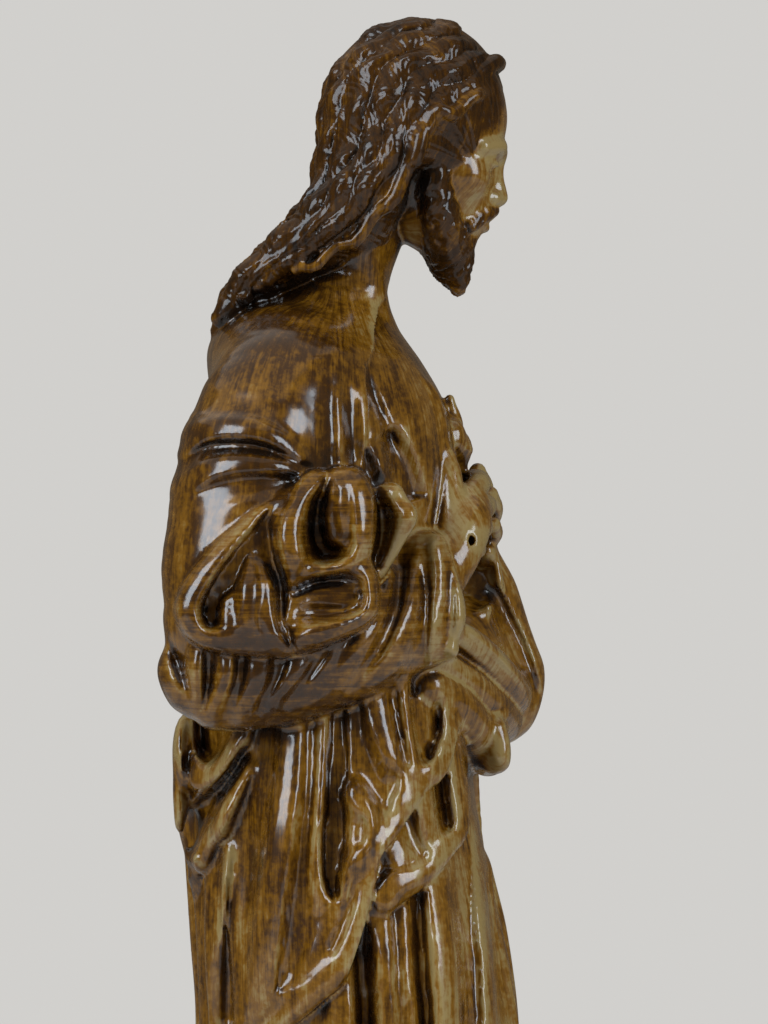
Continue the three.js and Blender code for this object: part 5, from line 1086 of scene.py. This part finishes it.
# Wraps a skin of quads round where the field is zero, between two corners of a box. The field is read on a
# coarse grid first, and on the fine one only where the skin can be.
def skin(field, low, high, step):
    coarse, room = 4, 3
    low = np.array(low, float)
    cells = np.ceil((np.array(high) - low) / (step * coarse)).astype(int)
    axes = [low[n] + np.arange(cells[n] + 1) * step * coarse for n in range(3)]
    grid = np.stack(np.meshgrid(*axes, indexing="ij"), -1).reshape(-1, 3)
    rough = field(grid).reshape(cells + 1)
    near = np.full(cells, np.inf, np.float32)
    for i, j, k in corners:
        near = np.minimum(near, np.abs(rough[i:i + cells[0], j:j + cells[1], k:k + cells[2]]))
    values = np.repeat(np.repeat(np.repeat(rough[:-1, :-1, :-1], coarse, 0), coarse, 1), coarse, 2)
    picked = np.argwhere(near < step * coarse * 1.15 + room)
    offsets = np.stack(np.meshgrid(*[np.arange(coarse)] * 3, indexing="ij"), -1).reshape(-1, 3)
    index = (picked[:, None, :] * coarse + offsets[None]).reshape(-1, 3)
    values[tuple(index.T)] = field(low + index * step)
    # where two sheets would touch inside one cell, the gap between them is filled
    while True:
        masks = cellMasks(values < 0)
        bad = np.argwhere(tangled[masks])
        if not len(bad):
            break
        around = np.stack([values[tuple((bad + c).T)] for c in corners], 1)
        around[around < 0] = np.inf
        nearest = bad + np.array(corners)[around.argmin(1)]
        values[tuple(nearest.T)] = -0.05 * step
    cellsOn = np.argwhere((masks != 0) & (masks != 255))
    around = np.stack([values[tuple((cellsOn + c).T)] for c in corners], 1)
    total, crossings = np.zeros((len(cellsOn), 3)), np.zeros(len(cellsOn))
    for a, b in edges:
        crossing = (around[:, a] < 0) != (around[:, b] < 0)
        t = around[:, a] / np.where(crossing, around[:, a] - around[:, b], 1)
        place = np.array(corners[a]) + t[:, None] * (np.array(corners[b]) - corners[a])
        total += place * crossing[:, None]
        crossings += crossing
    points = low + (cellsOn + total / crossings[:, None]) * step
    vertex = np.full(masks.shape, -1, np.int32)
    vertex[tuple(cellsOn.T)] = np.arange(len(cellsOn))
    inside = values < 0
    faces = []
    for way in range(3):
        e, u, v = (np.eye(3, dtype=int)[(way + n) % 3] for n in range(3))
        nx, ny, nz = np.array(inside.shape) - 1
        here = inside[1:nx, 1:ny, 1:nz]
        there = inside[1 + e[0]:nx + e[0], 1 + e[1]:ny + e[1], 1 + e[2]:nz + e[2]]
        at = np.argwhere(here != there) + 1
        ring = np.stack([vertex[tuple((at - p * u - q * v).T)] for p, q in ((0, 0), (1, 0), (1, 1), (0, 1))], 1)
        turned = ~inside[tuple(at.T)]
        ring[turned] = ring[turned][:, ::-1]
        faces.append(ring)
    return points.astype(np.float32), np.concatenate(faces)


def toMetres(points):
    return (points + np.array([0, figure["standBack"], 0])) / 1000


def toMillimetres(points):
    return points * 1000 - np.array([0, figure["standBack"], 0])


# Only the largest shell of a mesh is kept, so that no hollow between the soft masses stays inside
def keepLargest(piece):
    bpy.context.view_layer.objects.active = piece
    bpy.ops.object.select_all(action="DESELECT")
    piece.select_set(True)
    name = piece.name
    bpy.ops.mesh.separate(type="LOOSE")
    shells = sorted(bpy.context.selected_objects, key=lambda o: len(o.data.vertices))
    for small in shells[:-1]:
        mesh = small.data
        bpy.data.objects.remove(small)
        bpy.data.meshes.remove(mesh)
    shells[-1].name = name
    return shells[-1]


def applied(piece, kind, **settings):
    modifier = piece.modifiers.new(kind, kind)
    for key, value in settings.items():
        setattr(modifier, key, value)
    bpy.context.view_layer.objects.active = piece
    bpy.ops.object.modifier_apply(modifier=modifier.name)


# A part of the skin as an object. Neighbouring parts overlap: each draws in behind the other past their border.
def skinPiece(name, low, high, step, hidden):
    def field(p):
        return np.maximum(figureAt(p), -farAway) + hidden(p)

    points, faces = skin(field, low, high, step)
    mesh = bpy.data.meshes.new(name)
    mesh.from_pydata(toMetres(points), [], faces)
    piece = bpy.data.objects.new(name, mesh)
    bpy.context.collection.objects.link(piece)
    piece = keepLargest(piece)
    triangles = len(piece.data.polygons) * 2
    if triangles > figure["mostTriangles"]:
        applied(piece, "TRIANGULATE")
        applied(piece, "DECIMATE", ratio=figure["mostTriangles"] / triangles)
    piece.data.shade_smooth()
    report(f"{name}: {triangles} triangles before thinning")
    return piece


def normalsOf(mesh):
    normals = np.empty(len(mesh.vertices) * 3, np.float32)
    mesh.vertices.foreach_get("normal", normals)
    return normals.reshape(-1, 3)


def placesOf(mesh):
    places = np.empty(len(mesh.vertices) * 3, np.float32)
    mesh.vertices.foreach_get("co", places)
    return toMillimetres(places.reshape(-1, 3))


def setAttribute(mesh, name, kind, values):
    made = mesh.attributes.new(name, kind, "POINT")
    made.data.foreach_set("value" if kind == "FLOAT" else "vector", np.asarray(values, np.float32).ravel())


# Values at the vertices, each averaged with its neighbours a few times over
def evened(mesh, values, times):
    ends = np.empty(2 * len(mesh.edges), np.int32)
    mesh.edges.foreach_get("vertices", ends)
    a, b = ends.reshape(-1, 2).T
    count = len(values)
    near = np.bincount(a, minlength=count) + np.bincount(b, minlength=count) + 1
    for _ in range(times):
        values = (values + np.bincount(a, values[b], count) + np.bincount(b, values[a], count)) / near
    return values


# How dark each form was glazed, and how it was brushed: 1 along the sleeve, the others down the body. The
# skin's low value makes the face paler as a painted highlight, and the neck's higher value is painted shade.
tones = {"body": 0.46, "shoulder": 0.54, "sleeve": 0.54, "bunch": 0.5, "curl": 0.28, "cloth": 0.32,
         "heart": 0.36, "hand": 0.3, "neck": 0.52, "skin": 0.26, "hair": 0.74}
brushings = {"body": 0, "shoulder": 0, "sleeve": 1, "bunch": 1, "curl": 1, "cloth": 0,
             "heart": 0, "hand": 2, "neck": 2, "skin": 2, "hair": 3}
formNames = ["body"] + [f["name"] for f in forms]
# Where hollows and edges are felt for: how far out or in, and how much each distance counts. The hollow measure
# darkens the colour, partly as glaze gathered in recesses and partly as painted shade.
hollowReaches = ((2, 0.3), (5, 0.4), (10, 0.3))
ridgeReaches = ((1.2, 0.35), (3, 0.35), (8, 0.3))
# How much paler the body and the arms are painted at the front, below the top: a painted sheen of the light
# from the front
frontSheen = {"body": 0.12, "arms": 0.26, "from": 10, "to": 28, "top": 462}
lowerPaler = 0.1
hairVarnish, hairRidge = 0.5, 0.6
evenings = 8


# What the finish needs to know of each place: how hollow it is, how much of an edge, how glazed and brushed.
# The glaze value also carries painted light: a paler face and front, and a darker neck.
def dress(piece):
    mesh = piece.data
    places, normals = placesOf(mesh), normalsOf(mesh)
    nearest = figureAt(places, wantForm=True)[1]
    # how closed in each place is, felt along its normal: it darkens the colour, partly as glaze gathered in
    # recesses and partly as painted shade
    hollow = np.zeros(len(places))
    for reach, weight in hollowReaches:
        hollow += weight * np.clip(1 - figureAt(places + normals * reach) / reach, 0, 1.2)
    # how much of an edge each place is: it pales the colour, partly as glaze wiped off the high places and
    # partly as a painted highlight
    ridge = np.zeros(len(places))
    for reach, weight in ridgeReaches:
        ridge += weight * np.clip(1 + figureAt(places - normals * reach) / reach, 0, 1)
    hairy = np.array([name == "hair" for name in formNames])[nearest]
    setAttribute(mesh, "hollow", "FLOAT", hollow)
    setAttribute(mesh, "ridge", "FLOAT", ridge * (1 - (1 - hairRidge) * hairy))
    tone = np.array([tones[name] for name in formNames])[nearest]
    arms = np.array([name in ("shoulder", "sleeve") for name in formNames])[nearest]
    # paler at the front below the top: a painted sheen of the light from the front
    sheenAmount = frontSheen["body"] * (nearest == 0) + frontSheen["arms"] * arms
    front = smoothstep(-places[:, 1], frontSheen["from"], frontSheen["to"])
    tone -= sheenAmount * front * (places[:, 2] < frontSheen["top"])
    low = smoothstep(-places[:, 2], -400, -300)
    setAttribute(mesh, "glazeAndLight", "FLOAT", evened(mesh, tone - lowerPaler * low * (nearest == 0), evenings))
    setAttribute(mesh, "varnish", "FLOAT", evened(mesh, 1 - (1 - hairVarnish) * hairy, evenings))
    kind = np.array([brushings[name] for name in formNames])[nearest]
    x, y, z = places.T
    around = np.degrees(np.arctan2(-x, -y)) * 0.9
    grain = np.stack([around, z - 0.6 * np.hypot(x, y), kind], 1)
    sleeve = kind == 1
    grain[sleeve] = np.stack([z, y, kind], 1)[sleeve]
    setAttribute(mesh, "grain", "FLOAT_VECTOR", grain)
    report(f"{piece.name} dressed")


neckBorder, waistBorder = 509, 396
overlap = 10


def below(border):
    return lambda p: np.maximum(p[:, 2] - border, 0) * 0.1


def above(border):
    return lambda p: np.maximum(border - p[:, 2], 0) * 0.1


def capped(hidden, low, high):
    return lambda p: hidden(p) + farAway * ((p[:, 2] < low) | (p[:, 2] > high))


neckLow, neckHigh = neckBorder - overlap, neckBorder + overlap
waistLow, waistHigh = waistBorder - overlap, waistBorder + overlap
grids = [figure["headGrid"], figure["armGrid"], figure["skirtGrid"]]
figurePieces = [
    skinPiece("head_and_hair", [-90, -95, neckLow - 2], [90, 75, 640], grids[0],
              capped(above(neckBorder), neckLow, 700)),
    skinPiece("mantle_and_arms", [-108, -95, waistLow - 3], [104, 80, neckHigh + 3], grids[1],
              capped(lambda p: below(neckBorder)(p) + above(waistBorder)(p), waistLow, neckHigh)),
    skinPiece("skirts_and_feet", [-104, -104, 20], [104, 80, waistHigh + 3], grids[2],
              capped(below(waistBorder), 0, waistHigh)),
]
for piece in figurePieces:
    dress(piece)

# The low base: rounded rectangles stacked up a moulded edge, height and how far each steps in
base = {
    "halfWidth": 96,
    "halfDepth": 84,
    "profile": [[0, 1], [0.6, 0.2], [1.4, 0], [8, 0], [9.2, 0.4], [10.4, 1.6], [11, 3], [11.4, 4.4],
                [12.2, 5.2], [14, 5.6], [18, 5.6], [19.8, 5.2], [20.8, 4.6], [21.4, 4.1], [23.5, 3.9],
                [25.4, 4.1], [26.8, 4.7], [27.6, 5.6], [28, 7]],
    "corners": 3.4,              # 2 would be an ellipse, and more is squarer
    "sides": 160,
}


def makeBase():
    points = []
    for z, inset in base["profile"]:
        for i in range(base["sides"]):
            turn = 2 * math.pi * i / base["sides"]
            ways = (math.cos(turn), math.sin(turn))
            outX, outY = (math.copysign(abs(v) ** (2 / base["corners"]), v) for v in ways)
            points.append(((base["halfWidth"] - inset) * outX / 1000,
                           (base["halfDepth"] - inset) * outY / 1000, z / 1000))
    sides, levels = base["sides"], len(base["profile"])
    faces = []
    for level in range(levels - 1):
        for i in range(sides):
            low, high, after = level * sides, (level + 1) * sides, (i + 1) % sides
            faces.append((low + i, low + after, high + after, high + i))
    faces.append(tuple(range(sides))[::-1])
    faces.append(tuple((levels - 1) * sides + i for i in range(sides)))
    mesh = bpy.data.meshes.new("low_base")
    mesh.from_pydata(points, [], faces)
    mesh.shade_smooth()
    piece = bpy.data.objects.new("low_base", mesh)
    bpy.context.collection.objects.link(piece)
    return piece


def dressBase(mesh):
    x, y, z = placesOf(mesh).T
    none = np.zeros(len(x))
    # the recessed band of the moulding counts as hollow and comes out darker: glaze gathered there, and painted
    # shade
    setAttribute(mesh, "hollow", "FLOAT", np.where((z > 11) & (z < 20), 0.5, 0.1))
    setAttribute(mesh, "glazeAndLight", "FLOAT", none + 0.5)
    setAttribute(mesh, "ridge", "FLOAT", none)
    setAttribute(mesh, "varnish", "FLOAT", none + 1)
    setAttribute(mesh, "grain", "FLOAT_VECTOR", np.stack([z * 2, np.degrees(np.arctan2(x, y)), none], 1))


basePiece = makeBase()
dressBase(basePiece.data)
report("base made")

# The finish: a brushed ochre ground under a dark brown glaze that was wiped off the high places, then
# varnished. Its darkening in hollows is partly painted shade, and its paler edges partly a painted highlight.
finish = {
    "dark": (0.009, 0.0042, 0.0018),
    "brown": (0.046, 0.0165, 0.0014),
    "ochre": (0.175, 0.074, 0.005),
    "pale": (0.25, 0.17, 0.06),
    "stops": {"ochre": 0.25, "brown": 0.58},
    "inHollows": ((0.14, 0.7), 0.55),        # between which values the glaze gathers, and how much of it; this darkening is also painted shade
    # how much paler the edges are: glaze wiped off, and a painted highlight
    "offRidges": ((0.06, 0.45), 0.36),
    "fineStreaks": ((0.34, 0.68), 0.16),
    "broadStreaks": ((0.36, 0.66), 0.2),
    "mottle": ((0.36, 0.66), 0.28),
    "speckle": ((0.32, 0.68), 0.2),
    "mottleScale": 45,
    "speckleScale": 420,
    "bumpDepth": 0.0003,
    "roughness": 0.27,
    "specular": 0.06,
    "coat": 1,
    "coatRoughness": 0.15,
}


def nodeHelp(tree):
    def add(kind, inputs=None, **settings):
        node = tree.nodes.new(kind)
        for key, value in settings.items():
            setattr(node, key, value)
        for key, value in (inputs or {}).items():
            if isinstance(value, bpy.types.NodeSocket):
                tree.links.new(value, node.inputs[key])
            else:
                node.inputs[key].default_value = value
        return node

    def maths(operation, a, b=None, clamp=False):
        inputs = {0: a} if b is None else {0: a, 1: b}
        return add("ShaderNodeMath", inputs, operation=operation, use_clamp=clamp).outputs[0]

    def ramp(value, low, high, start=0.0, end=1.0):
        inputs = {"Value": value, "From Min": low, "From Max": high, "To Min": start, "To Max": end}
        return add("ShaderNodeMapRange", inputs, interpolation_type="SMOOTHSTEP").outputs[0]

    return add, maths, ramp


# Streaks left by the brush: fine across the grain and long along it
def streakGroup():
    tree = bpy.data.node_groups.new("brush streaks", "ShaderNodeTree")
    tree.interface.new_socket("Grain", in_out="INPUT", socket_type="NodeSocketVector")
    tree.interface.new_socket("Fine", in_out="OUTPUT", socket_type="NodeSocketFloat")
    tree.interface.new_socket("Broad", in_out="OUTPUT", socket_type="NodeSocketFloat")
    add, _, _ = nodeHelp(tree)
    start, end = add("NodeGroupInput"), add("NodeGroupOutput")
    fine = add("ShaderNodeMapping", {"Vector": start.outputs["Grain"], "Scale": (1.3, 0.07, 3)})
    broad = add("ShaderNodeMapping", {"Vector": start.outputs["Grain"], "Scale": (0.36, 0.03, 3)})
    for name, source, detail in (("Fine", fine, 5), ("Broad", broad, 3)):
        noise = add("ShaderNodeTexNoise", {"Vector": source.outputs[0], "Scale": 1, "Detail": detail,
                                           "Roughness": 0.55, "Distortion": 0.8})
        tree.links.new(noise.outputs[0], end.inputs[name])
    return tree


streaks = streakGroup()


def paintedWood():
    material = bpy.data.materials.new("painted wood")
    material.use_nodes = True
    tree = material.node_tree
    tree.nodes.clear()
    add, maths, ramp = nodeHelp(tree)
    hollow, ridge, varnish, tone = (add("ShaderNodeAttribute", attribute_name=name).outputs["Fac"]
                                    for name in ("hollow", "ridge", "varnish", "glazeAndLight"))
    grain = add("ShaderNodeAttribute", attribute_name="grain").outputs["Vector"]
    place = add("ShaderNodeTexCoord").outputs["Object"]
    brushed = add("ShaderNodeGroup", {"Grain": grain}, node_tree=streaks)
    mottle = add("ShaderNodeTexNoise", {"Vector": place, "Scale": finish["mottleScale"], "Detail": 4,
                                        "Roughness": 0.6}).outputs[0]
    speckle = add("ShaderNodeTexNoise", {"Vector": place, "Scale": finish["speckleScale"], "Detail": 3,
                                         "Roughness": 0.65}).outputs[0]
    # how much dark glaze is left: in the hollows, where the darkening is also painted shade, in streaks and
    # blotches, and off the high places, where the paler edges are also a painted highlight
    span, amount = finish["inHollows"]
    glazeAndLight = maths("ADD", maths("MULTIPLY", ramp(hollow, *span), amount), tone)
    for value, name in ((brushed.outputs["Fine"], "fineStreaks"), (brushed.outputs["Broad"], "broadStreaks"),
                        (mottle, "mottle"), (speckle, "speckle")):
        span, amount = finish[name]
        glazeAndLight = maths("ADD", glazeAndLight, maths("MULTIPLY", maths("SUBTRACT", ramp(value, *span), 0.5), amount))
    span, amount = finish["offRidges"]
    glazeAndLight = maths("SUBTRACT", glazeAndLight, maths("MULTIPLY", ramp(ridge, *span), amount), clamp=True)
    colour = add("ShaderNodeValToRGB", {"Fac": glazeAndLight})
    stops = colour.color_ramp.elements
    stops[0].position, stops[0].color = 0.0, (*finish["pale"], 1)
    stops[1].position, stops[1].color = 1.0, (*finish["dark"], 1)
    for name, position in finish["stops"].items():
        stop = stops.new(position)
        stop.color = (*finish[name], 1)
    height = maths("ADD", maths("MULTIPLY", brushed.outputs["Fine"], 0.5), maths("MULTIPLY", speckle, 0.3))
    bump = add("ShaderNodeBump", {"Height": height, "Strength": 0.3, "Distance": finish["bumpDepth"]})
    shader = add("ShaderNodeBsdfPrincipled", {
        "Base Color": colour.outputs[0],
        "Roughness": ramp(speckle, 0.3, 0.7, finish["roughness"] - 0.05, finish["roughness"] + 0.12),
        "Normal": bump.outputs[0],
        "Coat Weight": maths("MULTIPLY", varnish, finish["coat"]),
        "Coat Roughness": finish["coatRoughness"],
        "Specular IOR Level": finish["specular"],
    })
    output = add("ShaderNodeOutputMaterial")
    tree.links.new(shader.outputs[0], output.inputs["Surface"])
    return material


wood = paintedWood()
for piece in [*figurePieces, basePiece]:
    piece.data.materials.clear()
    piece.data.materials.append(wood)
    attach(piece, "root")
    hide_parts("statue")
report("finish made")

# Studio: a pale floor, broad soft lights and a camera at the right side of the figure
studio = {
    "floor": (0.62, 0.60, 0.57),
    "backdrop": (0.64, 0.63, 0.61),
    "litSky": (0.62, 0.5, 0.38),
    "skyStrength": 0.2,
    "floorSize": 3.2,
    # where each light stands, the height on the figure that it faces, its size, power and colour
    "lights": {
        "window behind": ((-1.3, 1.3, 1.35), 0.42, (1.1, 1.5), 46, (0.8, 0.9, 1.0)),
        "window front": ((-1.2, -1.5, 1.1), 0.42, (0.9, 1.4), 34, (0.8, 0.9, 1.0)),
        "above": ((0.1, 0.3, 2.0), 0.4, (3.0, 3.0), 10, (1, 0.98, 0.95)),
    },
    "cameraDistance": 1.5,
    "cameraY": 0.0003,
    "cameraZ": 0.4593,
    "viewHeight": 0.3413,
}


def makeFloor():
    half = studio["floorSize"] / 2
    mesh = bpy.data.meshes.new("floor")
    mesh.from_pydata([(-half, -half, 0), (half, -half, 0), (half, half, 0), (-half, half, 0)], [],
                     [(0, 1, 2, 3)])
    floor = bpy.data.objects.new("floor", mesh)
    bpy.context.collection.objects.link(floor)
    material = bpy.data.materials.new("floor")
    material.use_nodes = True
    shader = material.node_tree.nodes["Principled BSDF"]
    shader.inputs["Base Color"].default_value = (*studio["floor"], 1)
    shader.inputs["Roughness"].default_value = 0.8
    mesh.materials.append(material)
    return floor


def softLight(name, place, aimHeight, size, power, colour):
    data = bpy.data.lights.new(name, "AREA")
    data.shape = "RECTANGLE"
    data.size, data.size_y = size
    data.energy = power
    data.color = colour
    light = bpy.data.objects.new(name, data)
    light.location = place
    light.rotation_euler = (Vector((0, 0, aimHeight)) - Vector(place)).to_track_quat("-Z", "Y").to_euler()
    bpy.context.collection.objects.link(light)


def makeWorld():
    world = bpy.data.worlds.new("studio")
    bpy.context.scene.world = world
    world.use_nodes = True
    tree = world.node_tree
    tree.nodes.clear()
    add, _, _ = nodeHelp(tree)
    camera = add("ShaderNodeLightPath").outputs["Is Camera Ray"]
    seenSky = add("ShaderNodeBackground", {"Color": (*studio["backdrop"], 1), "Strength": 1})
    litSky = add("ShaderNodeBackground", {"Color": (*studio["litSky"], 1), "Strength": studio["skyStrength"]})
    mixed = add("ShaderNodeMixShader", {0: camera, 1: litSky.outputs[0], 2: seenSky.outputs[0]})
    output = add("ShaderNodeOutputWorld")
    tree.links.new(mixed.outputs[0], output.inputs["Surface"])


def setLook():
    scene = bpy.context.scene
    scene.view_settings.view_transform = "Standard"
    scene.view_settings.look = "None"
    scene.view_settings.exposure = 0


def makeCamera():
    data = bpy.data.cameras.new("camera")
    data.sensor_fit = "VERTICAL"
    data.sensor_height = 36
    data.lens = 36 * studio["cameraDistance"] / studio["viewHeight"]
    camera = bpy.data.objects.new("camera", data)
    camera.location = (-studio["cameraDistance"], studio["cameraY"], studio["cameraZ"])
    camera.rotation_euler = (math.pi / 2, 0, -math.pi / 2)
    bpy.context.collection.objects.link(camera)
    bpy.context.scene.camera = camera


makeFloor()
for name, light in studio["lights"].items():
    softLight(name, *light)
makeWorld()
makeCamera()
setLook()

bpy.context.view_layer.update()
report("scene ready")
